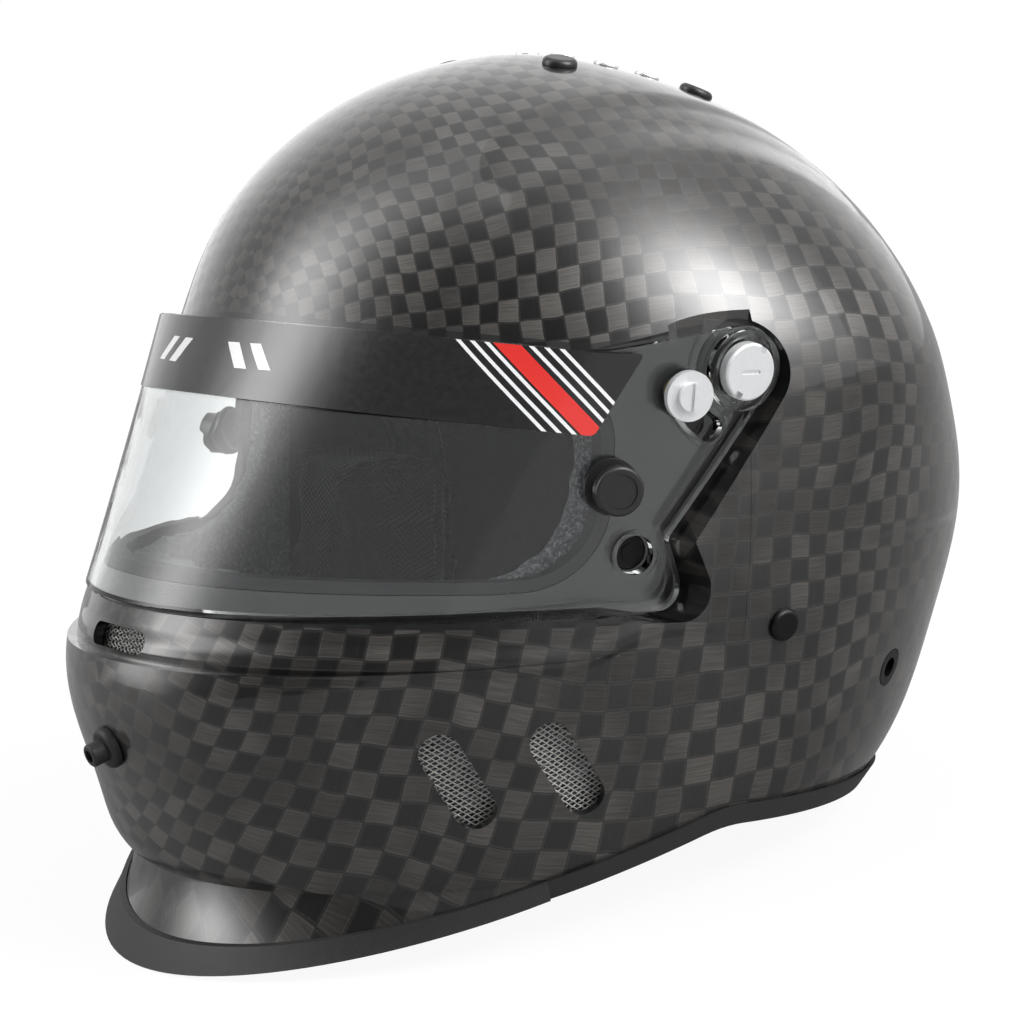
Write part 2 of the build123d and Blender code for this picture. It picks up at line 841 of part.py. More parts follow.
bush_end = side_pan + 2 * clearance + bush_flange_height
insert_end = side_floor + insert_length
post_stem_end = visor_wall + film_gap + clearance + post_nut_height
plate_back = shell_wall + 2 * strap_sag + strap_thickness + 2 * clearance + strap_plate_thickness
pieces = {}
for name in sides:
    pieces[f"pivot_screw_{name}"] = pivot_screw(pivots[name])
    pieces[f"pivot_bush_{name}"] = flanged_tube(
        pivots[name],
        bush_radius,
        pivot_stem_radius + film_gap,
        bush_end,
        side_floor,
        bush_flange_radius,
        bush_flange_height,
    )
    pieces[f"stop_screw_{name}"] = stop_screw(stops[name])
    pieces[f"stop_washer_{name}"] = stop_washer(stops[name])
    pieces[f"stop_insert_{name}"] = flanged_tube(
        stops[name],
        stop_stem_radius + insert_wall,
        stop_stem_radius + film_gap,
        insert_end,
        side_floor,
    )
    pieces[f"lock_stud_{name}"] = lock_stud(locks[name])
    pieces[f"film_post_{name}"] = film_post(posts[name])
    pieces[f"post_nut_{name}"] = flanged_tube(
        posts[name],
        post_nut_radius,
        post_stem_radius + film_gap,
        post_stem_end,
        post_stem_end - post_nut_height,
    )
    pieces[f"strap_rivet_{name}"] = strap_rivet(rivets[name])
    pieces[f"strap_plate_{name}"] = strap_plate(rivets[name])
    pieces[f"anchor_insert_{name}"] = anchor_insert(anchors[name])

with BuildPart() as crown_plugs:
    for plane in plugs:
        add(push_plug(plane, plug_radius, plug_dome, plug_stem_radius))
with BuildPart() as crown_rivets:
    for plane in crown_rivet_places:
        add(push_plug(plane, crown_rivet_radius, crown_rivet_dome, crown_rivet_stem))

# Meshes behind the vents and the drinking port's grommet
with BuildPart() as slot_mesh:
    add(mesh_plate_at(slot_vent, slot_vent_width, slot_vent_height, 0, slot_mesh_sink))
chin_mesh = {}
for name, side in sides.items():
    with BuildPart() as mesh:
        for plane in vents:
            if plane.origin.X * side > 0:
                lean = tilt_on(plane, vent_tilt)
                add(mesh_plate_at(plane, vent_length, vent_width, lean, chin_mesh_sink))
    chin_mesh[name] = mesh.part
grommet_back = shell_wall + 2 * clearance + grommet_lip
with BuildPart() as drink_port:
    add(domed(port_tube, grommet_radius, grommet_height, grommet_round))
    add(domed(port_tube, nozzle_radius, nozzle_height, nozzle_round, grommet_height))
    add(disc(port_tube, grommet_neck_radius, grommet_back + grommet_height / 2, -grommet_back))
    add(disc(port_tube, grommet_radius, grommet_lip, -grommet_back))
    add(disc(port_tube, nozzle_bore, 2 * overrun, -overrun), mode=Mode.SUBTRACT)

# Energy absorbing liner, the comfort liner inside it, and the felt pad in the chin bar
head_region = side_view(
    (reach_front, brow_z),
    (brow_back_y, brow_z, cheek_corner),
    (temple_back_y, temple_z, cheek_corner),
    (temple_back_y, nape_z),
    (reach_back, nape_z),
    (reach_back, crown_height + overrun),
    (reach_front, crown_height + overrun),
)
visor_recess = across(visor_outline, pocket_margin + pan_wall + soft_clearance) - visor_cone(liner_recess)
liner_skin = shell_wall + soft_clearance
liner_core = barrel(liner_side, liner_front, liner_back, liner_top)
with BuildPart() as impact_liner:
    add(even_barrel(liner_skin) & across(head_region))
    add(liner_core, mode=Mode.SUBTRACT)
    add(visor_recess, mode=Mode.SUBTRACT)
    for plane in anchors.values():
        hole_end = anchor_depth + soft_clearance
        add(disc(plane, anchor_body_radius + soft_clearance, through, -hole_end), mode=Mode.SUBTRACT)
with BuildPart() as comfort_liner:
    add(barrel(
        liner_side + soft_clearance,
        liner_front + soft_clearance,
        liner_back + soft_clearance,
        liner_top + soft_clearance,
    ) & across(head_region, -comfort_margin))
    add(barrel(
        liner_side + comfort_layer,
        liner_front + comfort_layer,
        liner_back + comfort_layer,
        liner_top + comfort_layer,
    ), mode=Mode.SUBTRACT)

felt_region = side_view(
    (reach_front, felt_top_z),
    (felt_front_y, felt_top_z, felt_bend_round),
    (felt_front_y, felt_tip_z, felt_tip_round),
    (felt_back_y, felt_tip_z, felt_tip_round),
    (felt_back_y, felt_bottom_z),
    (reach_front, felt_bottom_z),
)
felt_sink = side_floor + seal_depth + soft_clearance
above_ledge = across(side_view(
    (reach_front, ledge_front_z),
    (rim_front_y, ledge_front_z),
    (felt_back_y, ledge_side_z),
    (reach_back, ledge_side_z),
    (reach_back, overrun),
    (reach_front, overrun),
))
with BuildPart() as chin_pad:
    add(barrel(felt_outer, felt_outer + ledge_depth, felt_outer, felt_outer) & across(felt_region))
    add(above_ledge - visor_cone(felt_sink), mode=Mode.SUBTRACT)
    add(even_barrel(felt_outer + felt_thickness), mode=Mode.SUBTRACT)

# Cheek pads, hollowed where the strap runs down behind them
cheek_region = side_view(
    (cheek_front_y, cheek_top_z, cheek_corner),
    (cheek_back_y, cheek_top_z, cheek_corner),
    (cheek_back_y, cheek_bottom_z, cheek_corner),
    (cheek_front_y, cheek_front_bottom_z, cheek_corner),
)
strap_recess = across(side_view(
    (rivet_y - strap_width / 2 - 2 * soft_clearance, strap_top_z + 2 * soft_clearance),
    (rivet_y + strap_width / 2 + 2 * soft_clearance, strap_top_z + 2 * soft_clearance),
    (rivet_y + strap_width / 2 + 2 * soft_clearance, rim_front_z),
    (rivet_y - strap_width / 2 - 2 * soft_clearance, rim_front_z),
)) - even_barrel(plate_back + rivet_tail + soft_clearance)
cheek_space = even_barrel(liner_skin)
cheek_pads = {}
for name, side in sides.items():
    with BuildPart() as pad:
        with BuildSketch(Plane.YZ.offset(side * cheek_inner_half_width)):
            add(Plane.YZ.to_local_coords(cheek_region))
        extrude(amount=side * overrun)
        inner_face = pad.faces().sort_by(Axis.X)[0 if side > 0 else -1]
        fillet(inner_face.edges(), cheek_round)
        add(cheek_space, mode=Mode.INTERSECT)
        add(visor_recess, mode=Mode.SUBTRACT)
        add(strap_recess, mode=Mode.SUBTRACT)
    cheek_pads[name] = pad.part

# Neck roll
with BuildPart() as neck_roll:
    add(even_barrel(liner_skin) & across(side_view(
        (roll_front_y, roll_top_z),
        (reach_back, roll_top_z),
        (reach_back, roll_bottom_z),
        (roll_front_y, roll_bottom_z),
    )))
    add(even_barrel(liner_skin + roll_thickness), mode=Mode.SUBTRACT)


# Chin strap, fastened by two rings below the cheek pads
def strap_x(form, z):
    """Half width of the form at the strap."""
    return on_surface(form, 1, rivet_y, z).origin.X


strap_form = even_barrel(shell_wall + clearance + strap_sag + strap_thickness / 2)
strap_low_x = strap_x(strap_form, strap_low_z) - strap_low_depth
hanging = [
    (strap_x(strap_form, strap_top_z), strap_top_z),
    (strap_x(strap_form, strap_middle_z), strap_middle_z),
    (strap_low_x, strap_low_z),
    (strap_low_x - strap_turn_in, strap_turn_z),
    (strap_level_x, strap_level_z),
]
turn_radius = ring_wire + clearance + strap_thickness / 2
upper_ring_z = strap_level_z - turn_radius
lower_ring_z = upper_ring_z - 2 * turn_radius


def webbing(*stretches):
    """Strap of even thickness along stretches given as lists of (across, up)."""
    with BuildPart() as strap:
        for stretch in stretches:
            with BuildSketch(Plane.XZ.offset(-rivet_y)):
                with BuildLine():
                    if len(stretch) > 2:
                        FilletPolyline(*stretch, radius=strap_bend)
                    else:
                        Line(*stretch)
                trace(line_width=strap_thickness)
            extrude(amount=strap_width / 2, both=True)
    return strap.part


with BuildPart() as strap_left:
    add(webbing(hanging + [(ring_near_x, strap_level_z)]))
    with BuildSketch(Plane.XZ.offset(-rivet_y)):
        with Locations((ring_near_x, (upper_ring_z + lower_ring_z) / 2)):
            turns = 2 * turn_radius
            SlotCenterToCenter(turns, turns + strap_thickness, rotation=90)
            SlotCenterToCenter(turns, turns - strap_thickness, rotation=90, mode=Mode.SUBTRACT)
    extrude(amount=strap_width / 2, both=True)
    add(disc(rivets["left"], rivet_stem_radius + clearance, through, -through), mode=Mode.SUBTRACT)
with BuildPart() as strap_right:
    add(webbing([(-x, z) for x, z in hanging] + [(ring_far_x, strap_level_z)]))
    add(webbing([(ring_far_x, lower_ring_z + turn_radius), (strap_tail_end_x, lower_ring_z + turn_radius)]))
    with BuildSketch(Plane.XZ.offset(-rivet_y)):
        with Locations((ring_far_x, upper_ring_z)):
            Circle(turn_radius + strap_thickness / 2)
            Circle(turn_radius - strap_thickness / 2, mode=Mode.SUBTRACT)
        with Locations((ring_far_x - overrun / 2, upper_ring_z)):
            Rectangle(overrun, overrun, mode=Mode.SUBTRACT)
    extrude(amount=strap_width / 2, both=True)
    add(disc(rivets["right"], rivet_stem_radius + clearance, through, -through), mode=Mode.SUBTRACT)
    with BuildSketch(Plane.XY.offset(lower_ring_z)):
        with Locations((snap_x, rivet_y)):
            Circle(snap_stem_radius + film_gap)
    extrude(amount=4 * turn_radius, mode=Mode.SUBTRACT)

ring_frame = Pos((ring_near_x + ring_far_x) / 2, rivet_y) * RectangleRounded(
    ring_near_x - ring_far_x, ring_width, ring_corner
)
with BuildPart() as strap_rings:
    for height in (upper_ring_z, lower_ring_z):
        bar = Pos(0, 0, height) * ring_frame.wire()
        with BuildSketch(Plane(origin=bar @ 0, z_dir=bar % 0)):
            Circle(ring_wire)
        sweep(path=bar)

snap_low_z = lower_ring_z + turn_radius - strap_thickness / 2 - snap_cap
snap_high_z = strap_level_z + strap_thickness / 2
with BuildPart() as strap_snap:
    with BuildSketch(Plane.XY.offset(snap_low_z)):
        with Locations((snap_x, rivet_y)):
            Circle(snap_radius)
    extrude(amount=snap_cap)
    with BuildSketch(Plane.XY.offset(snap_high_z)):
        with Locations((snap_x, rivet_y)):
            Circle(snap_radius)
    extrude(amount=snap_cap)
    with BuildSketch(Plane.XY.offset(snap_low_z)):
        with Locations((snap_x, rivet_y)):
            Circle(snap_stem_radius)
    extrude(amount=snap_high_z - snap_low_z + snap_cap / 2)

pieces.update({
    "outer_shell": outer_shell.part,
    "edge_trim": edge_trim.part,
    "visor": visor.part,
    "tint_strip": tint_strip.part,
    "eyeport_seal": eyeport_seal.part,
    "crown_plugs": crown_plugs.part,
    "crown_rivets": crown_rivets.part,
    "slot_mesh": slot_mesh.part,
    "chin_mesh_left": chin_mesh["left"],
    "chin_mesh_right": chin_mesh["right"],
    "drink_port": drink_port.part,
    "impact_liner": impact_liner.part,
    "comfort_liner": comfort_liner.part,
    "chin_pad": chin_pad.part,
    "cheek_pad_left": cheek_pads["left"],
    "cheek_pad_right": cheek_pads["right"],
    "neck_roll": neck_roll.part,
    "chin_strap_left": strap_left.part,
    "chin_strap_right": strap_right.part,
    "strap_rings": strap_rings.part,
    "strap_snap": strap_snap.part,
})

# Tilted to stand on the chin lip and the nape, with the origin on the ground below the middle
tilted = {name: Rot(-rest_tilt, 0, 0) * piece for name, piece in pieces.items()}
box = Compound(list(tilted.values())).bounding_box()
middle = Vector(0, (box.min.Y + box.max.Y) / 2, box.min.Z)
for name, piece in tilted.items():
    placed = Pos(*-middle) * piece
    placed.label = name
    export_step(placed, f"parts/{name}.step")
    size = placed.bounding_box()
    print(name, placed.is_valid, len(placed.solids()), round(placed.volume), size.min, size.max)

pivot_place = Pos(*-middle) * Rot(-rest_tilt, 0, 0) * Pos(0, pivot_y, 0)
print("pivot axis at", pivot_place.position, "overall", box.size)
print("head frame's origin at", -middle)


def at_rest(plane):
    """The place and the outward direction of a plane, once the helmet stands at rest."""
    moved = Pos(*-middle) * Rot(-rest_tilt, 0, 0) * Location(plane)
    return moved.position, Plane(moved).z_dir


for title, planes in (("anchor", anchors.values()), ("port", [port_tube]), ("post", posts.values())):
    for plane in planes:
        print(title, *at_rest(plane))
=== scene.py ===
"""Full face racing helmet, dressed over its CAD model: materials, soft pads, studio and camera."""
import json
import math

import bmesh
import bpy
import numpy as np
from mathutils import Matrix, Vector, geometry, noise


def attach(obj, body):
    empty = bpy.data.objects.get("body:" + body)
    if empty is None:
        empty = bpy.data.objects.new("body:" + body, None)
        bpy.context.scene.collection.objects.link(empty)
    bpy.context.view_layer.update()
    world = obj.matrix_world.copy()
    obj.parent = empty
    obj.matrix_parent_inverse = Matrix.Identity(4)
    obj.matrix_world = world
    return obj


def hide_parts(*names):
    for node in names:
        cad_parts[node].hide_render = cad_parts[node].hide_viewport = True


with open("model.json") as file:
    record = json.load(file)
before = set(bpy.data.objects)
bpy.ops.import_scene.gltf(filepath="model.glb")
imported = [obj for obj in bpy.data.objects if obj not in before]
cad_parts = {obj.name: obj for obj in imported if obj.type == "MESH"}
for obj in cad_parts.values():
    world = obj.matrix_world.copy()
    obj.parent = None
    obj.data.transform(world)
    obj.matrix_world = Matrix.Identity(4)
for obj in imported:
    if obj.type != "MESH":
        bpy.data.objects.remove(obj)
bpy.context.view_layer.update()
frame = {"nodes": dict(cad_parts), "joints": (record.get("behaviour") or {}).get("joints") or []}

# The head's own frame: level, in millimetres, with its origin in the middle of the head, a little
# ahead of the visor's pivots
MM = 0.001
REST_TILT = math.radians(9.2)
PIVOT_BACK = 5.5
TILT = Matrix.Rotation(-REST_TILT, 4, "X")
ORIGIN = Vector(frame["joints"][0]["pos_m"]) - TILT @ Vector((0, PIVOT_BACK * MM, 0))
LEVEL = Matrix.Translation(ORIGIN) @ TILT @ Matrix.Scale(MM, 4)


def placed(x, y, z):
    """A place in the level head frame, given in millimetres, as the helmet stands."""
    return LEVEL @ Vector((x, y, z))


# Camera, at the photograph's angle
CAMERA_TURN = math.radians(54)
CAMERA_RISE = math.radians(7)
CAMERA_REACH = 850
CAMERA_TARGET = (0, 11.6, -51.5)
SENSOR = 36
FOCAL_SHARE = 2720 / 1024
right = Vector((math.cos(CAMERA_TURN), math.sin(CAMERA_TURN), 0))
back = Vector((
    math.sin(CAMERA_TURN) * math.cos(CAMERA_RISE),
    -math.cos(CAMERA_TURN) * math.cos(CAMERA_RISE),
    math.sin(CAMERA_RISE),
))
up = back.cross(right)
axes = TILT.to_3x3() @ Matrix((right, up, back)).transposed()
camera_data = bpy.data.cameras.new("camera")
camera_data.sensor_width = SENSOR
camera_data.lens = FOCAL_SHARE * SENSOR
camera_data.clip_start = 0.01
camera = bpy.data.objects.new("camera", camera_data)
target = Vector(CAMERA_TARGET)
camera.matrix_world = Matrix.Translation(placed(*(target + back * CAMERA_REACH))) @ axes.to_4x4()
bpy.context.scene.collection.objects.link(camera)
bpy.context.scene.camera = camera


class Shader:
    """Short calls for building the nodes of a material or a world."""

    def __init__(self, name, kind="materials"):
        self.owner = getattr(bpy.data, kind).new(name)
        self.owner.use_nodes = True
        self.tree = self.owner.node_tree
        self.surface = self.tree.nodes.get("Principled BSDF")

    def node(self, kind, **values):
        made = self.tree.nodes.new(kind)
        for key, value in values.items():
            setattr(made, key, value)
        return made

    def put(self, socket, value):
        """Links a node's output to the socket, or sets a plain value on it."""
        if isinstance(value, bpy.types.NodeSocket):
            self.tree.links.new(value, socket)
        else:
            socket.default_value = value

    def set(self, **values):
        """Sets the surface's own sockets, with _ for each space in their names."""
        for key, value in values.items():
            self.put(self.surface.inputs[key.replace("_", " ")], value)

    def math(self, operation, *terms):
        made = self.node("ShaderNodeMath", operation=operation)
        for socket, term in zip(made.inputs, terms):
            self.put(socket, term)
        return made.outputs[0]

    def vector(self, operation, *terms):
        made = self.node("ShaderNodeVectorMath", operation=operation)
        for socket, term in zip(made.inputs, terms):
            self.put(socket, term)
        return made.outputs["Value" if operation in ("LENGTH", "DOT_PRODUCT") else "Vector"]

    def place(self):
        """The shading point in the level head frame, in millimetres."""
        coordinates = self.node("ShaderNodeTexCoord").outputs["Object"]
        moved = self.vector("SUBTRACT", coordinates, ORIGIN)
        turned = self.node("ShaderNodeVectorRotate", rotation_type="X_AXIS")
        self.put(turned.inputs["Vector"], moved)
        self.put(turned.inputs["Angle"], REST_TILT)
        return self.vector("MULTIPLY", turned.outputs[0], (1 / MM, 1 / MM, 1 / MM))

    def split(self, vector):
        """A vector's three values."""
        made = self.node("ShaderNodeSeparateXYZ")
        self.put(made.inputs[0], vector)
        return made.outputs

    def join(self, *values):
        """Vector of three values."""
        made = self.node("ShaderNodeCombineXYZ")
        for socket, value in zip(made.inputs, values):
            self.put(socket, value)
        return made.outputs[0]

    def noise(self, vector, scale, detail=2.0, roughness=0.5, color=False):
        made = self.node("ShaderNodeTexNoise")
        self.put(made.inputs["Vector"], vector)
        self.put(made.inputs["Scale"], scale)
        self.put(made.inputs["Detail"], detail)
        self.put(made.inputs["Roughness"], roughness)
        return made.outputs["Color" if color else "Fac"]

    def ramp(self, value, *stops):
        """Colours along a value: each stop is (place, colour)."""
        made = self.node("ShaderNodeValToRGB")
        self.put(made.inputs[0], value)
        while len(made.color_ramp.elements) < len(stops):
            made.color_ramp.elements.new(0.5)
        for element, (where, colour) in zip(made.color_ramp.elements, stops):
            element.position = where
            element.color = (*colour, 1)
        return made.outputs[0]

    def span(self, value, low, high, to_low=0.0, to_high=1.0):
        """The value's range from low to high, spread over another range."""
        made = self.node("ShaderNodeMapRange")
        for socket, term in zip(made.inputs, (value, low, high, to_low, to_high)):
            self.put(socket, term)
        return made.outputs[0]

    def smooth(self, value, low, high):
        """0 at low and 1 at high, eased between them; low may be the larger."""
        made = self.node("ShaderNodeMapRange", interpolation_type="SMOOTHSTEP")
        for socket, term in zip(made.inputs, (value, low, high)):
            self.put(socket, term)
        return made.outputs[0]

    def within(self, value, low, high):
        """1 between low and high, 0 elsewhere."""
        above = self.math("GREATER_THAN", value, low)
        return self.math("MULTIPLY", above, self.math("LESS_THAN", value, high))

    def mix(self, share, first, second):
        """Colours mixed by a share."""
        made = self.node("ShaderNodeMix", data_type="RGBA")
        self.put(made.inputs[0], share)
        for socket, value in zip((made.inputs[6], made.inputs[7]), (first, second)):
            self.put(socket, (*value, 1) if isinstance(value, tuple) else value)
        return made.outputs[2]

    def between(self, share, first, second):
        """Numbers mixed by a share."""
        made = self.node("ShaderNodeMix", data_type="FLOAT")
        for place, value in zip((0, 2, 3), (share, first, second)):
            self.put(made.inputs[place], value)
        return made.outputs[0]

    def between_vectors(self, share, first, second):
        made = self.node("ShaderNodeMix", data_type="VECTOR")
        for place, value in zip((0, 4, 5), (share, first, second)):
            self.put(made.inputs[place], value)
        return made.outputs[1]

    def tint(self, colour, amount):
        """The colour made lighter or darker by an amount."""
        made = self.node("ShaderNodeVectorMath", operation="SCALE")
        self.put(made.inputs[0], colour)
        self.put(made.inputs["Scale"], amount)
        return made.outputs[0]

    def bump(self, height, distance, strength=1.0, normal=None):
        """Bump on the surface, over another normal where one is given; distance in metres."""
        made = self.node("ShaderNodeBump")
        if normal:
            self.put(made.inputs["Normal"], normal)
        self.put(made.inputs["Height"], height)
        self.put(made.inputs["Distance"], distance)
        self.put(made.inputs["Strength"], strength)
        self.put(self.surface.inputs["Normal"], made.outputs[0])
        return made.outputs[0]


# Carbon: a plain weave of wide flat tows, draped over the shell from each side, under clear lacquer
TOW = 6.8
POLE = (0.0, 30.0, -25.0)
POLE_REACH = (122.0, 150.0, 122.0)
LENGTHWISE = TILT.to_3x3() @ Vector((0, 1, 0))
UPRIGHT = TILT.to_3x3() @ Vector((0, 0, 1))
DRIFT, DRIFT_SCALE = 2.2, 0.11
WOBBLE, WOBBLE_SCALE = 0.16, 0.9
FIBRES_ALONG, FIBRES_ACROSS = 0.5, 15.0
SEAM_WIDTH, GLINT_WIDTH = 0.045, 0.09
SEAM_COLOUR = (0.003, 0.003, 0.003)
GLINT_COLOUR = (0.11, 0.104, 0.098)

# The visor's outline seen from the side, which the pocket in the shell follows a little outside
POCKET_MARGIN = 1.8
REAR_RADIUS = 12.0
TEMPLE = (-34.0, 5.6)
BROW = (-100.0, 13.4)
NOTCH = (-12.8, -46.4)
LOBE = (-7.6, -58.5)
HEEL = (-21.0, -66.8)
DISC_FROM = (3.5, -6.9)
# Moulded creases, each with its height: round the crown's side, behind the cheek, and along the
# chin bar under the slot. Pairs are the places where a crease starts and is whole
RIDGE_CENTRE = (15.6, -52.5)
RIDGE_RADIUS = 113.3
RIDGE_STEP = (-1.5, 7.0)
RIDGE_FRONT, RIDGE_BACK, RIDGE_ASIDE = (-52.0, -18.0), (104.0, 84.0), (52.0, 64.0)
RIDGE_HEIGHT = -1.7
LEDGE_Z = -48.0
LEDGE_DEEPEST = LEDGE_Z - 3.0
LEDGE_TOP, LEDGE_FOOT = LEDGE_Z + 0.5, LEDGE_Z - 22.0
LEDGE_FRONT = (34.0, 62.0)
LEDGE_HEIGHT = -1.0
SILL_Z = -79.8
SILL_RISE, SILL_RISE_AT = 9.0, (-48.0, -16.0)
SILL_LOWER, SILL_UPPER, SILL_BACK = (-2.2, 0.4), (7.0, 2.0), (2.0, -20.0)
SILL_HEIGHT = 0.9
# Normals that face this far inward belong to the shell's inner side
FACES_INWARD = -0.2


def beyond(s, y, z, start, end):
    """How far a side view place lies to the left of a line from start to end."""
    along, rise = end[0] - start[0], end[1] - start[1]
    reach = math.hypot(along, rise)
    across = s.math("MULTIPLY", s.math("SUBTRACT", y, start[0]), -rise / reach)
    upward = s.math("MULTIPLY", s.math("SUBTRACT", z, start[1]), along / reach)
    return s.math("ADD", across, upward)


def at_turn(start, turn):
    """The place one step from start, at a turn in the side view."""
    return start[0] + math.cos(turn), start[1] + math.sin(turn)


def pocket(s):
    """1 where the visor covers the shell, 0 elsewhere."""
    _, y, z = s.split(s.place())
    centre_reach = math.hypot(PIVOT_BACK - TEMPLE[0], TEMPLE[1])
    lift = math.atan2(-TEMPLE[1], PIVOT_BACK - TEMPLE[0]) + math.asin(REAR_RADIUS / centre_reach)
    above_arm = beyond(s, y, z, TEMPLE, at_turn(TEMPLE, lift))
    above_brow = beyond(s, y, z, BROW, TEMPLE)
    notch_reach = math.hypot(PIVOT_BACK - NOTCH[0], NOTCH[1])
    turn = math.atan2(-NOTCH[1], PIVOT_BACK - NOTCH[0]) - math.asin(REAR_RADIUS / notch_reach)
    behind_arm = beyond(s, y, z, at_turn(NOTCH, turn), NOTCH)
    behind_lobe = s.math("MAXIMUM", beyond(s, y, z, NOTCH, LOBE), s.math("SUBTRACT", y, LOBE[0]))
    above = s.math("MINIMUM", above_arm, above_brow)
    out = s.math("MAXIMUM", above, s.math("MINIMUM", behind_arm, behind_lobe))
    out = s.math("MAXIMUM", out, s.math("SUBTRACT", HEEL[1], z))
    from_pivot = s.vector("LENGTH", s.join(s.math("SUBTRACT", y, PIVOT_BACK), z, 0.0))
    disc = s.math("SUBTRACT", from_pivot, REAR_RADIUS)
    behind_disc = s.math("GREATER_THAN", y, DISC_FROM[0])
    at_disc = s.math("MULTIPLY", behind_disc, s.math("GREATER_THAN", z, DISC_FROM[1]))
    out = s.between(at_disc, out, s.math("MAXIMUM", out, disc))
    return s.math("LESS_THAN", out, POCKET_MARGIN)


def inside(s):
    """1 on the shell's inner side, 0 outside."""
    outward = s.vector("NORMALIZE", s.vector("SUBTRACT", s.place(), POLE))
    turned = s.node("ShaderNodeVectorRotate", rotation_type="X_AXIS")
    s.put(turned.inputs["Vector"], s.node("ShaderNodeTexCoord").outputs["Normal"])
    s.put(turned.inputs["Angle"], REST_TILT)
    facing = s.vector("DOT_PRODUCT", turned.outputs[0], outward)
    return s.math("LESS_THAN", facing, FACES_INWARD)


def creases(s):
    """Height of the shell's moulded creases, in millimetres."""
    x, y, z = s.split(s.place())
    along, up = (s.math("SUBTRACT", value, centre) for value, centre in zip((y, z), RIDGE_CENTRE))
    reach = s.vector("LENGTH", s.join(along, up, 0.0))
    step = s.smooth(s.math("SUBTRACT", reach, RIDGE_RADIUS), *RIDGE_STEP)
    step = s.math("MULTIPLY", step, s.smooth(y, *RIDGE_FRONT))
    step = s.math("MULTIPLY", step, s.smooth(y, *RIDGE_BACK))
    aside = s.smooth(s.math("ABSOLUTE", x), *RIDGE_ASIDE)
    ridge = s.math("MULTIPLY", s.math("MULTIPLY", step, aside), RIDGE_HEIGHT)
    top, foot = s.smooth(z, LEDGE_TOP, LEDGE_DEEPEST), s.smooth(z, LEDGE_FOOT, LEDGE_DEEPEST)
    shelf = s.math("MULTIPLY", s.math("MULTIPLY", top, foot), s.smooth(y, *LEDGE_FRONT))
    ledge = s.math("MULTIPLY", shelf, LEDGE_HEIGHT)
    rise = s.math("MULTIPLY", s.smooth(y, *SILL_RISE_AT), SILL_RISE)
    above = s.math("SUBTRACT", s.math("SUBTRACT", z, SILL_Z), rise)
    lip = s.math("MULTIPLY", s.smooth(above, *SILL_LOWER), s.smooth(above, *SILL_UPPER))
    sill = s.math("MULTIPLY", s.math("MULTIPLY", lip, s.smooth(y, *SILL_BACK)), SILL_HEIGHT)
    return s.math("ADD", s.math("ADD", ridge, ledge), sill)


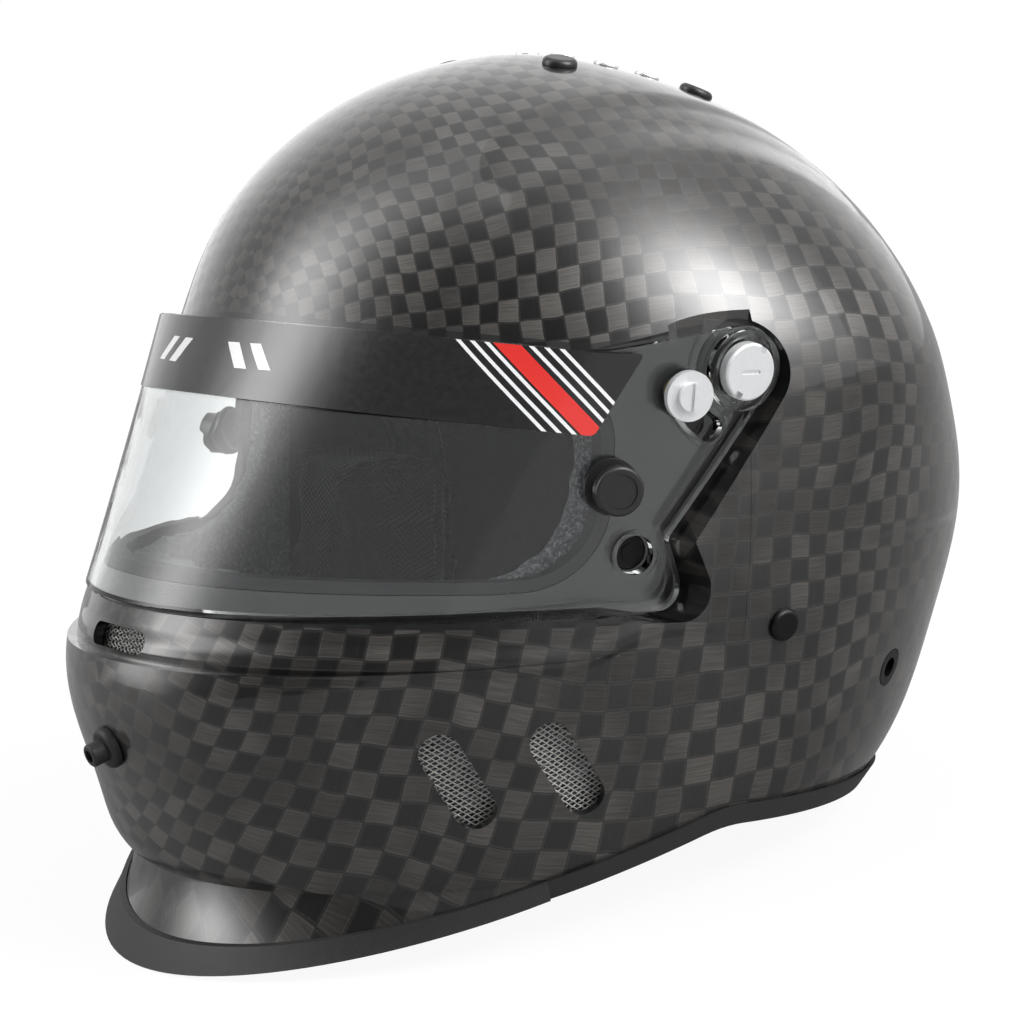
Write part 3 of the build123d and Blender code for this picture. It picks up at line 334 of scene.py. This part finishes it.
def carbon(name):
    s = Shader(name)
    offset = s.vector("SUBTRACT", s.place(), POLE)
    direction = s.vector("NORMALIZE", s.vector("DIVIDE", offset, POLE_REACH))
    side, along, height = s.split(direction)
    flat = s.vector("LENGTH", s.join(0.0, along, height))
    away = s.math("ARCTAN2", flat, s.math("ABSOLUTE", side))
    stretch = s.math("DIVIDE", away, s.math("MAXIMUM", flat, 0.001))
    u = s.math("MULTIPLY", s.math("MULTIPLY", along, stretch), POLE_REACH[1] / TOW)
    v = s.math("MULTIPLY", s.math("MULTIPLY", height, stretch), POLE_REACH[2] / TOW)
    # The cloth shifts a little as it is draped, and no tow runs quite straight
    for depth, scale, amount in ((0.0, DRIFT_SCALE, DRIFT), (3.0, WOBBLE_SCALE, WOBBLE)):
        shift_u, shift_v, _ = s.split(s.noise(s.join(u, v, depth), scale, 1.0, color=True))
        u = s.math("ADD", u, s.math("MULTIPLY", shift_u, amount))
        v = s.math("ADD", v, s.math("MULTIPLY", shift_v, amount))
    column = s.math("FLOOR", u)
    row = s.math("FLOOR", v)
    over = s.math("MODULO", s.math("ABSOLUTE", s.math("ADD", column, row)), 2.0)
    in_u = s.math("SUBTRACT", s.math("FRACT", u), 0.5)
    in_v = s.math("SUBTRACT", s.math("FRACT", v), 0.5)
    # Each tow bows over its crossing, and its fibres run along it
    bow_over = s.math("SUBTRACT", 0.25, s.math("MULTIPLY", in_u, in_u))
    bow_under = s.math("SUBTRACT", 0.25, s.math("MULTIPLY", in_v, in_v))
    bow = s.between(over, bow_under, bow_over)
    fibres = []
    for by_u, by_v, tow in (
        (FIBRES_ACROSS, FIBRES_ALONG, column),
        (FIBRES_ALONG, FIBRES_ACROSS, row),
    ):
        thread = s.join(s.math("MULTIPLY", u, by_u), s.math("MULTIPLY", v, by_v), tow)
        fibres.append(s.noise(thread, 1.0, 3.0, 0.65))
    fibres = s.between(over, *fibres)
    each = s.node("ShaderNodeTexWhiteNoise", noise_dimensions="3D")
    s.put(each.inputs["Vector"], s.join(column, row, over))
    shade = s.span(each.outputs["Value"], 0.0, 1.0, 0.72, 1.28)
    sheen_patches = s.noise(s.join(u, v, 9.0), 0.22, 2.0, 0.5)
    edge_u = s.math("SUBTRACT", 0.5, s.math("ABSOLUTE", in_u))
    edge_v = s.math("SUBTRACT", 0.5, s.math("ABSOLUTE", in_v))
    edge = s.math("MINIMUM", edge_u, edge_v)
    seam = s.span(edge, 0.0, SEAM_WIDTH)
    # Painted sheen: cells where one tow set lies on top get a lighter base colour than the others.
    # This stands in for the tows' sheen, which changes with the light, on top of the real
    # anisotropic reflection set below. In the sheen patches those cells turn dark, painting where
    # that sheen fades
    dark = s.ramp(fibres, (0.3, (0.0030, 0.0029, 0.0029)), (0.72, (0.0085, 0.0080, 0.0076)))
    light = s.ramp(fibres, (0.3, (0.028, 0.0255, 0.0232)), (0.72, (0.070, 0.0640, 0.0580)))
    light = s.mix(s.span(sheen_patches, 0.42, 0.62, 0.0, 0.55), light, dark)
    colour = s.tint(s.mix(over, dark, light), shade)
    colour = s.mix(s.span(seam, 0.0, 1.0, 0.75, 0.0), colour, SEAM_COLOUR)
    beside_seam = s.span(edge, SEAM_WIDTH, GLINT_WIDTH, 1.0, 0.0)
    glint = s.math("MULTIPLY", beside_seam, s.math("MULTIPLY", seam, fibres))
    colour = s.mix(s.math("MULTIPLY", glint, 0.35), colour, GLINT_COLOUR)
    # No weave shows in the visor's pocket or inside the shell: they are plain black laminate
    plain = s.math("MAXIMUM", pocket(s), inside(s))
    fine = s.noise(s.place(), 0.35, 4.0, 0.6)
    black = s.ramp(fine, (0.3, (0.0055, 0.0055, 0.006)), (0.75, (0.0105, 0.0105, 0.011)))
    colour = s.mix(plain, colour, black)
    s.set(Base_Color=colour, Roughness=s.span(fibres, 0.2, 0.8, 0.30, 0.42))
    s.set(Metallic=0.3, Anisotropic=0.75, Specular_IOR_Level=0.5)
    s.set(Coat_Weight=1.0, Coat_Roughness=0.05, Coat_IOR=1.5)
    s.put(s.surface.inputs["Tangent"], s.between_vectors(over, UPRIGHT, LENGTHWISE))
    relief = s.math("ADD", bow, s.math("MULTIPLY", fibres, 0.05))
    weave = s.math("MULTIPLY", relief, s.math("SUBTRACT", 1.0, plain))
    moulded = s.bump(creases(s), 0.001, 1.0)
    s.put(s.surface.inputs["Coat Normal"], moulded)
    s.bump(weave, 0.0007, 0.30, moulded)
    return s.owner


def rubber(name, colour, rough=0.55):
    s = Shader(name)
    fine = s.noise(s.place(), 1.4, 3.0, 0.6)
    s.set(Base_Color=s.ramp(fine, (0.3, colour), (0.8, tuple(c * 1.5 for c in colour))))
    s.set(Roughness=s.span(fine, 0.2, 0.8, rough - 0.08, rough + 0.08), Specular_IOR_Level=0.45)
    s.bump(fine, 0.0003, 0.25)
    return s.owner


def plastic(name, colour, rough=0.35):
    s = Shader(name)
    fine = s.noise(s.place(), 2.2, 2.0, 0.5)
    s.set(Base_Color=s.ramp(fine, (0.3, colour), (0.8, tuple(c * 1.35 for c in colour))))
    s.set(Roughness=s.span(fine, 0.2, 0.8, rough - 0.06, rough + 0.06))
    s.bump(fine, 0.0002, 0.12)
    return s.owner


def metal(name, colour, rough=0.28, brushed=0.35, metallic=1.0):
    s = Shader(name)
    place = s.place()
    streaks = s.noise(s.vector("MULTIPLY", place, (1.0, 9.0, 0.4)), 0.9, 3.0, 0.6)
    s.set(Base_Color=s.ramp(streaks, (0.25, tuple(c * 0.86 for c in colour)), (0.8, colour)))
    s.set(Roughness=s.span(streaks, 0.2, 0.8, rough - 0.07, rough + 0.09), Metallic=metallic)
    s.bump(streaks, 0.0002, brushed)
    return s.owner


def clear(name):
    s = Shader(name)
    fine = s.noise(s.place(), 0.02, 2.0, 0.5)
    s.set(Base_Color=s.ramp(fine, (0.3, (0.93, 0.95, 0.95)), (0.8, (0.97, 0.98, 0.98))))
    s.set(Roughness=s.span(fine, 0.3, 0.7, 0.0, 0.012), IOR=1.5, Transmission_Weight=1.0)
    return s.owner


# The film's marks, in millimetres round the visor from its middle, slanted with height
FILM_CENTRE_Y, FILM_RADIUS = 13.3, 108.0
FILM_SLANT = 0.9
PINSTRIPES, PINSTRIPE_REPEAT, PINSTRIPE_WIDTH = (92.0, 121.0), 1.75, 0.62
RED_BAR = (103.0, 109.6)
BLOCKS, BLOCKS_SHIFT, BLOCK_REPEAT, BLOCK_WIDTH = (14.0, 30.0), 2.0, 5.0, 2.6
BLOCKS_HEIGHT = (-1.0, 6.0)
PALE = (0.72, 0.72, 0.73)
RED = (0.62, 0.03, 0.025)


def film(name):
    """Opaque black film: slanted pinstripes and a red bar at its sides, pale blocks ahead."""
    s = Shader(name)
    x, y, z = s.split(s.place())
    fine = s.noise(s.place(), 0.6, 2.0, 0.5)
    turn = s.math("ARCTAN2", s.math("ABSOLUTE", x), s.math("SUBTRACT", FILM_CENTRE_Y, y))
    around = s.math("MULTIPLY", turn, FILM_RADIUS)
    slant = s.math("ADD", around, s.math("MULTIPLY", z, FILM_SLANT))
    ground = s.ramp(fine, (0.3, (0.012, 0.012, 0.013)), (0.8, (0.019, 0.019, 0.020)))
    stripes = s.math("LESS_THAN", s.math("PINGPONG", slant, PINSTRIPE_REPEAT), PINSTRIPE_WIDTH)
    colour = s.mix(s.math("MULTIPLY", stripes, s.within(slant, *PINSTRIPES)), ground, PALE)
    colour = s.mix(s.within(slant, *RED_BAR), colour, RED)
    repeat = s.math("PINGPONG", s.math("ADD", slant, BLOCKS_SHIFT), BLOCK_REPEAT)
    blocks = s.math("MULTIPLY", s.within(slant, *BLOCKS), s.math("LESS_THAN", repeat, BLOCK_WIDTH))
    colour = s.mix(s.math("MULTIPLY", blocks, s.within(z, *BLOCKS_HEIGHT)), colour, PALE)
    s.set(Base_Color=colour, Roughness=s.span(fine, 0.3, 0.7, 0.18, 0.24))
    s.set(Coat_Weight=0.6, Coat_Roughness=0.05)
    return s.owner


# The foam's beads per millimetre, and the knit's loops and the webbing's ribs in radians per
# millimetre
BEADS = 0.33
LOOPS_ALONG, LOOPS_UP, LOOPS_LEAN = 2.6, 3.4, 0.3
RIBS_ALONG, RIBS_UP = 4.2, 2.6


def foam(name):
    s = Shader(name)
    made = s.node("ShaderNodeTexVoronoi", feature="F1")
    s.put(made.inputs["Vector"], s.place())
    s.put(made.inputs["Scale"], BEADS)
    beads = made.outputs["Distance"]
    # Painted shade: darker between the beads, where the surface lies lower
    s.set(Base_Color=s.ramp(beads, (0.0, (0.055, 0.055, 0.057)), (0.7, (0.02, 0.02, 0.021))))
    s.set(Roughness=0.8)
    s.bump(s.math("MULTIPLY", beads, -1.0), 0.0008, 0.5)
    return s.owner


def knit(name, colour):
    s = Shader(name)
    place = s.place()
    x, y, z = s.split(place)
    course = s.math("MULTIPLY", s.math("ADD", x, y), LOOPS_ALONG)
    rise = s.math("ADD", z, s.math("MULTIPLY", y, LOOPS_LEAN))
    wale = s.math("MULTIPLY", rise, LOOPS_UP)
    loops = s.math("MULTIPLY", s.math("SINE", course), s.math("SINE", wale))
    height = s.math("ADD", loops, s.noise(place, 3.0, 2.0, 0.6))
    # Painted shade: the loops' hollows get half the yarn's colour, darker where the knit lies lower
    hollow_shade = tuple(c * 0.5 for c in colour)
    s.set(Base_Color=s.ramp(s.span(height, -0.6, 1.6), (0.1, hollow_shade), (0.9, colour)))
    s.set(Roughness=0.9, Sheen_Weight=0.35, Sheen_Roughness=0.5)
    s.bump(height, 0.0004, 0.5)
    return s.owner


def felt(name):
    s = Shader(name)
    place = s.place()
    specks = s.noise(place, 0.75, 4.0, 0.75)
    fuzz = s.noise(place, 3.5, 3.0, 0.7)
    dark, grey, pale = (0.016, 0.017, 0.020), (0.085, 0.09, 0.10), (0.36, 0.37, 0.39)
    s.set(Base_Color=s.ramp(specks, (0.34, dark), (0.5, grey), (0.66, pale)))
    s.set(Roughness=0.95, Sheen_Weight=0.3, Sheen_Roughness=0.5)
    s.bump(s.math("ADD", specks, fuzz), 0.0008, 0.5)
    return s.owner


def woven(name, colour):
    s = Shader(name)
    _, y, z = s.split(s.place())
    across, up = s.math("MULTIPLY", y, RIBS_ALONG), s.math("MULTIPLY", z, RIBS_UP)
    ribs = s.math("MULTIPLY", s.math("SINE", across), s.math("SINE", up))
    # Painted shade: the hollows between the ribs get half the yarn's colour, darker where the
    # webbing lies lower
    hollow_shade = tuple(c * 0.5 for c in colour)
    s.set(Base_Color=s.ramp(s.span(ribs, -1.0, 1.0), (0.1, hollow_shade), (0.9, colour)))
    s.set(Roughness=0.75, Sheen_Weight=0.3)
    s.bump(ribs, 0.0003, 0.6)
    return s.owner


MATERIALS = {
    "carbon_laminate": carbon("carbon_laminate"),
    "black_rubber": rubber("black_rubber", (0.011, 0.011, 0.012)),
    "seal_rubber": rubber("seal_rubber", (0.022, 0.022, 0.024), 0.6),
    "clear_sheet": clear("clear_sheet"),
    "strip_film": film("strip_film"),
    "black_plastic": plastic("black_plastic", (0.012, 0.012, 0.013)),
    "silver_metal": metal("silver_metal", (0.84, 0.85, 0.86), 0.36, 0.35, 0.6),
    "gauze_wire": metal("gauze_wire", (0.55, 0.54, 0.52), 0.45, 0.3, 0.5),
    "liner_foam": foam("liner_foam"),
    "lining_fabric": knit("lining_fabric", (0.012, 0.012, 0.014)),
    "felt": felt("felt"),
    "webbing": woven("webbing", (0.03, 0.03, 0.033)),
    "ring_steel": metal("ring_steel", (0.6, 0.6, 0.61), 0.15),
    "black_metal": metal("black_metal", (0.035, 0.035, 0.037), 0.35),
    "nylon": plastic("nylon", (0.02, 0.02, 0.021), 0.45),
    "brass_insert": metal("brass_insert", (0.72, 0.52, 0.24)),
}
for node in frame["nodes"].values():
    for held in node.material_slots:
        slot_name = held.material.name.split(".")[0] if held.material else ""
        if slot_name in MATERIALS:
            held.material = MATERIALS[slot_name]

scene = bpy.context.scene
INTO_LEVEL = LEVEL.inverted()


# Points this close are one point, in metres
SAME_PLACE = 0.00002
CLOTH_STEPS = 20
PRESSURE = 4.0


def bake(piece):
    """Keeps the shape that the piece's modifiers give it, and drops them."""
    graph = bpy.context.evaluated_depsgraph_get()
    graph.update()
    mesh = bpy.data.meshes.new_from_object(piece.evaluated_get(graph))
    piece.modifiers.clear()
    piece.data = mesh


def soft_start(node, name, voxel, inset):
    """Evenly meshed copy of a soft CAD solid, a little smaller than it."""
    mesh = frame["nodes"][node].data.copy()
    mesh.materials.clear()
    shape = bmesh.new()
    shape.from_mesh(mesh)
    bmesh.ops.remove_doubles(shape, verts=shape.verts, dist=SAME_PLACE)
    bmesh.ops.recalc_face_normals(shape, faces=shape.faces)
    shape.to_mesh(mesh)
    shape.free()
    piece = bpy.data.objects.new(name, mesh)
    scene.collection.objects.link(piece)
    remesh = piece.modifiers.new("remesh", "REMESH")
    remesh.mode = "VOXEL"
    remesh.voxel_size = voxel
    bake(piece)
    for vertex in piece.data.vertices:
        vertex.co -= vertex.normal * inset
    return piece


def blow_up(piece, most):
    """Fills the piece like a padded cover; no point moves further than the given distance."""
    starts = [vertex.co.copy() for vertex in piece.data.vertices]
    cloth = piece.modifiers.new("cover", "CLOTH")
    cloth.settings.use_pressure = True
    cloth.settings.uniform_pressure_force = PRESSURE
    cloth.settings.effector_weights.gravity = 0
    for moment in range(1, CLOTH_STEPS + 1):
        scene.frame_set(moment)
    bake(piece)
    scene.frame_set(1)
    for vertex, start in zip(piece.data.vertices, starts):
        moved = vertex.co - start
        if moved.length > most:
            vertex.co = start + moved.normalized() * most


def refine(piece):
    """Subdivides the piece once."""
    piece.modifiers.new("finer", "SUBSURF").levels = 1
    bake(piece)


def sew(piece, depth_at):
    """Pulls the surface in along seams.

    depth_at gives millimetres for a place and an outward direction in the level frame.
    """
    vertices = piece.data.vertices
    turn = INTO_LEVEL.to_3x3()
    moves = []
    for vertex in vertices:
        depth = depth_at(INTO_LEVEL @ vertex.co, (turn @ vertex.normal).normalized())
        moves.append(vertex.normal * depth * MM)
    for vertex, move in zip(vertices, moves):
        vertex.co -= move


def groove(distance, width):
    """1 in the middle of a seam, falling off over its width."""
    return math.exp(-(distance / width) ** 2)


def finish_soft(piece, node, slot):
    """Gives the piece its material, and puts it in the place of a CAD node."""
    piece.data.materials.clear()
    piece.data.materials.append(MATERIALS[slot])
    for face in piece.data.polygons:
        face.use_smooth = True
    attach(piece, "shell")
    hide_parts(node)


# Cheek pads: crowned covers with a seam round the inner face and two sewn channels
CHEEK_FRONT, CHEEK_BACK, CHEEK_TOP, CHEEK_BOTTOM = -12.5, 36.0, -38.0, -114.0
CHEEK_SEAM_INSET, CHEEK_SEAM_DEPTH, CHEEK_SEAM_WIDTH = 8.5, 1.5, 1.3
CHEEK_CHANNELS = (-63.0, -88.0)
CHANNEL_DEPTH, CHANNEL_WIDTH = 2.0, 2.4
CHEEK_CROWN, CHEEK_CROWN_REACH = 1.2, 20
INNER_FACE = -0.35
for side, hand in ((1, "left"), (-1, "right")):
    pad = soft_start(f"cheek_pad_{hand}", f"cheek_cushion_{hand}", 0.004, 0.0022)
    blow_up(pad, 0.002)
    refine(pad)

    def cheek_seams(place, facing, side=side):
        if facing.x * side > INNER_FACE:
            return 0.0
        across = min(place.y - CHEEK_FRONT, CHEEK_BACK - place.y)
        edge = min(across, CHEEK_TOP - place.z, place.z - CHEEK_BOTTOM)
        seam = CHEEK_SEAM_DEPTH * groove(edge - CHEEK_SEAM_INSET, CHEEK_SEAM_WIDTH)
        channels = max(groove(place.z - z, CHANNEL_WIDTH) for z in CHEEK_CHANNELS)
        crown = CHEEK_CROWN * min(1.0, max(0.0, 1 - edge / CHEEK_CROWN_REACH))
        return seam + crown + (CHANNEL_DEPTH * channels if edge > CHEEK_SEAM_INSET else 0.0)

    sew(pad, cheek_seams)
    finish_soft(pad, f"cheek_pad_{hand}", "lining_fabric")

# Lining of the crown: quilted panels between seams that run front to back, and one round the crown
LINING_CENTRE = Vector((0, 25, 5))
LINING_SEAMS, LINING_SEAM_WIDTH = (22.0, 52.0), 1.9
LINING_RING_RISE, LINING_RING_WIDTH = 38, 1.6
LINING_DEPTH = 2.2
LINING_OUTSIDE = 0.1
lining = soft_start("comfort_liner", "quilted_lining", 0.0036, 0.0003)


def lining_seams(place, facing):
    outward = place - LINING_CENTRE
    if facing.dot(outward.normalized()) > LINING_OUTSIDE:
        return 0.0
    seams = max(groove(abs(place.x) - x, LINING_SEAM_WIDTH) for x in LINING_SEAMS)
    rise = math.degrees(math.atan2(outward.z, abs(outward.y)))
    return LINING_DEPTH * max(seams, groove(rise - LINING_RING_RISE, LINING_RING_WIDTH))


sew(lining, lining_seams)
finish_soft(lining, "comfort_liner", "lining_fabric")

# Roll round the nape, with sewn channels across it
NAPE_CENTRE_Y = 30.0
NAPE_STEP = 16.0
NAPE_DEPTH, NAPE_WIDTH = 1.8, 1.2
roll = soft_start("neck_roll", "nape_cushion", 0.004, 0.002)
blow_up(roll, 0.0018)
refine(roll)


def roll_seams(place, facing):
    turn = math.degrees(math.atan2(place.x, place.y - NAPE_CENTRE_Y))
    away = (turn + NAPE_STEP / 2) % NAPE_STEP - NAPE_STEP / 2
    return NAPE_DEPTH * groove(away, NAPE_WIDTH)


sew(roll, roll_seams)
finish_soft(roll, "neck_roll", "lining_fabric")

# Felt pad inside the chin bar: thick needled felt, its surface uneven
felt_pad = soft_start("chin_pad", "chin_felt", 0.0034, 0.0004)


def felt_unevenness(place, facing):
    lumps = noise.noise(place * 0.11) + 0.5 * noise.noise(place * 0.31)
    return 0.35 + 0.3 * lumps


refine(felt_pad)
sew(felt_pad, felt_unevenness)
finish_soft(felt_pad, "chin_pad", "felt")

# Chin straps: woven webbing, flat, with rounded selvedges
SELVEDGE = 0.0007
SHARP_EDGE = math.radians(50)
for hand in ("left", "right"):
    mesh = frame["nodes"][f"chin_strap_{hand}"].data.copy()
    shape = bmesh.new()
    shape.from_mesh(mesh)
    bmesh.ops.remove_doubles(shape, verts=shape.verts, dist=SAME_PLACE)
    shape.to_mesh(mesh)
    shape.free()
    strap = bpy.data.objects.new(f"strap_webbing_{hand}", mesh)
    scene.collection.objects.link(strap)
    rounded = strap.modifiers.new("selvedge", "BEVEL")
    rounded.width = SELVEDGE
    rounded.segments = 3
    rounded.angle_limit = SHARP_EDGE
    bake(strap)
    finish_soft(strap, f"chin_strap_{hand}", "webbing")

# Fine metal gauze behind the vents: two families of round wires, woven over and under
GAUZE_PITCH = 1.32
GAUZE_WIRE = 0.4
GAUZE_LEAN = math.radians(34)
GAUZE_SIDES = 5
GAUZE_REPEAT = GAUZE_PITCH / math.sin(2 * GAUZE_LEAN)
GAUZE_BOW = 0.45 * GAUZE_WIRE
GAUZE_EDGE = 0.3
GAUZE_SHORTEST = 1.0
GAUZE_STEPS = 4


def gauze(node, name, across_axis):
    """Gauze on the smooth face through a CAD mesh plate, as far as that plate's outline."""
    places = [INTO_LEVEL @ vertex.co for vertex in frame["nodes"][node].data.vertices]
    first, out = (1, 0) if across_axis == "x" else (0, 1)
    spots = np.array([(place[first], place[2]) for place in places])
    middle = spots.mean(axis=0)
    sides = spots - middle

    def terms(a, b):
        return np.stack([np.ones_like(a), a, b, a * a, a * b, b * b], axis=-1)

    values = np.array([place[out] for place in places])
    form = np.linalg.lstsq(terms(sides[:, 0], sides[:, 1]), values, rcond=None)[0]
    outline = geometry.convex_hull_2d([tuple(spot) for spot in spots])
    hull = [spots[index] - middle for index in outline]
    shape = bmesh.new()
    for lean in (GAUZE_LEAN, -GAUZE_LEAN):
        run = np.array((math.cos(lean), math.sin(lean)))
        over = np.array((-run[1], run[0]))
        last = int(max(abs(corner @ over) for corner in hull) / GAUZE_PITCH)
        for number in range(-last, last + 1):
            offset = number * GAUZE_PITCH
            crossings = []
            for start, end in zip(hull, hull[1:] + hull[:1]):
                low, high = start @ over - offset, end @ over - offset
                if low * high < 0:
                    crossings.append((start + (end - start) * (low / (low - high))) @ run)
            if len(crossings) != 2 or max(crossings) - min(crossings) <= GAUZE_SHORTEST:
                continue
            begin, stop = min(crossings) + GAUZE_EDGE, max(crossings) - GAUZE_EDGE
            steps = np.arange(begin, stop, GAUZE_PITCH / GAUZE_STEPS)
            wave = np.sin(steps * math.pi / GAUZE_REPEAT + number * math.pi)
            if lean < 0:
                wave = -wave
            flat = over[None, :] * number * GAUZE_PITCH + steps[:, None] * run[None, :]
            depth = terms(flat[:, 0], flat[:, 1]) @ form + GAUZE_BOW * wave
            line = []
            for spot, sink in zip(flat + middle, depth):
                place = [0.0, 0.0, spot[1]]
                place[first], place[out] = spot[0], sink
                line.append(Vector(place))
            add_wire(shape, line)
    mesh = bpy.data.meshes.new(name)
    shape.to_mesh(mesh)
    shape.free()
    piece = bpy.data.objects.new(name, mesh)
    scene.collection.objects.link(piece)
    mesh.materials.append(MATERIALS["gauze_wire"])
    for face in mesh.polygons:
        face.use_smooth = True
    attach(piece, "shell")
    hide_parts(node)


def add_wire(shape, line):
    """Round wire along places of the level frame."""
    if len(line) < 3:
        return
    rings = []
    for index, place in enumerate(line):
        ahead = line[min(index + 1, len(line) - 1)] - line[max(index - 1, 0)]
        level = abs(ahead.x) < abs(ahead.y) + abs(ahead.z)
        aside = ahead.cross(Vector((1, 0, 0)) if level else Vector((0, 1, 0)))
        aside.normalize()
        other = ahead.cross(aside).normalized()
        ring = []
        for corner in range(GAUZE_SIDES):
            turn = 2 * math.pi * corner / GAUZE_SIDES
            spot = place + (aside * math.cos(turn) + other * math.sin(turn)) * GAUZE_WIRE / 2
            ring.append(shape.verts.new(LEVEL @ spot))
        rings.append(ring)
    for ring, following in zip(rings, rings[1:]):
        for corner in range(GAUZE_SIDES):
            beside = (corner + 1) % GAUZE_SIDES
            shape.faces.new((ring[corner], ring[beside], following[beside], following[corner]))
    shape.faces.new(rings[0][::-1])
    shape.faces.new(rings[-1])


gauze("chin_mesh_left", "side_gauze_left", "x")
gauze("chin_mesh_right", "side_gauze_right", "x")
gauze("slot_mesh", "slot_gauze", "y")

# Studio: a pale floor, and the lights as soft bright areas of the world round the helmet
scene.view_settings.view_transform = "Standard"


def toward(turn, rise):
    """Direction at a turn from straight ahead to the wearer's left, and a rise, in degrees."""
    turn, rise = math.radians(turn), math.radians(rise)
    return (math.sin(turn) * math.cos(rise), -math.cos(turn) * math.cos(rise), math.sin(rise))


# Soft glows of the world: where each comes from, its tightness and its strength
GLOWS = (
    (toward(-126, 8), 2.2, 1.1),
    (toward(117, 39), 26.0, 15.0),
    (toward(124, 12), 5.0, 1.3),
    (toward(170, 72), 6.0, 0.9),
)
# The tall light ahead on the right: its turn and height, its falloff aside and upward, its strength
STRIP_TURN, STRIP_HEIGHT = -36, 0.45
STRIP_ASIDE, STRIP_UPWARD = 16.0, 6.0
STRIP_STRENGTH = 6.0
FILL = 0.12
WHITE = (1, 1, 1, 1)


def studio():
    """World of soft glows: a backdrop, the key light and a wide one round it, one overhead.

    A tall strip stands ahead on the right, and the camera sees plain white behind it all.
    """
    s = Shader("studio", "worlds")
    looking = s.node("ShaderNodeTexCoord").outputs["Generated"]

    def along(direction):
        return s.vector("DOT_PRODUCT", looking, direction)

    def glow(direction, tightness, strength):
        facing = s.math("MAXIMUM", along(direction), 0.0)
        return s.math("MULTIPLY", s.math("POWER", facing, tightness), strength)

    def falloff(distance, tightness):
        power = s.math("MULTIPLY", s.math("MULTIPLY", distance, distance), -tightness)
        return s.math("POWER", 2.718, power)

    parts = [glow(*each) for each in GLOWS]
    aside = falloff(along(toward(STRIP_TURN + 90, 0)), STRIP_ASIDE)
    upward = falloff(s.math("SUBTRACT", along((0, 0, 1)), STRIP_HEIGHT), STRIP_UPWARD)
    ahead = s.math("GREATER_THAN", along(toward(STRIP_TURN, 0)), 0.0)
    strength = s.math("MULTIPLY", ahead, STRIP_STRENGTH)
    parts.append(s.math("MULTIPLY", s.math("MULTIPLY", aside, upward), strength))
    total = FILL
    for part in parts:
        total = s.math("ADD", part, total)
    path = s.node("ShaderNodeLightPath").outputs
    light = s.tree.nodes["Background"]
    s.put(light.inputs["Color"], WHITE)
    s.put(light.inputs["Strength"], total)
    plain = s.node("ShaderNodeBackground")
    s.put(plain.inputs["Color"], WHITE)
    mix = s.node("ShaderNodeMixShader")
    s.put(mix.inputs[0], s.math("MAXIMUM", path["Is Camera Ray"], path["Is Transmission Ray"]))
    s.put(mix.inputs[1], light.outputs[0])
    s.put(mix.inputs[2], plain.outputs[0])
    s.put(s.tree.nodes["World Output"].inputs[0], mix.outputs[0])
    scene.world = s.owner


FLOOR_GREYS = ((0.80, 0.80, 0.80), (0.86, 0.86, 0.86))
FLOOR_REFLECTED = (0.2, 0.2, 0.2)
FLOOR_WHITE = 0.93


def floor_material():
    """White with a faint shadow to the camera, plain grey in reflections."""
    s = Shader("floor")
    grain = s.node("ShaderNodeTexNoise")
    s.put(grain.inputs["Scale"], 3.0)
    ground = s.ramp(grain.outputs["Fac"], (0.0, FLOOR_GREYS[0]), (1.0, FLOOR_GREYS[1]))
    path = s.node("ShaderNodeLightPath").outputs
    s.set(Base_Color=s.mix(path["Is Glossy Ray"], ground, FLOOR_REFLECTED), Roughness=0.9)
    seen = s.math("MAXIMUM", path["Is Camera Ray"], path["Is Transmission Ray"])
    mix = s.node("ShaderNodeMixShader")
    s.put(mix.inputs[0], s.math("MULTIPLY", seen, FLOOR_WHITE))
    s.put(mix.inputs[1], s.surface.outputs[0])
    s.put(mix.inputs[2], s.node("ShaderNodeEmission").outputs[0])
    s.put(s.tree.nodes["Material Output"].inputs[0], mix.outputs[0])
    return s.owner


FLOOR_REACH = 4.0
studio()
floor_mesh = bmesh.new()
bmesh.ops.create_grid(floor_mesh, x_segments=8, y_segments=8, size=FLOOR_REACH)
floor_data = bpy.data.meshes.new("floor")
floor_mesh.to_mesh(floor_data)
floor_mesh.free()
floor = bpy.data.objects.new("floor", floor_data)
floor_data.materials.append(floor_material())
scene.collection.objects.link(floor)
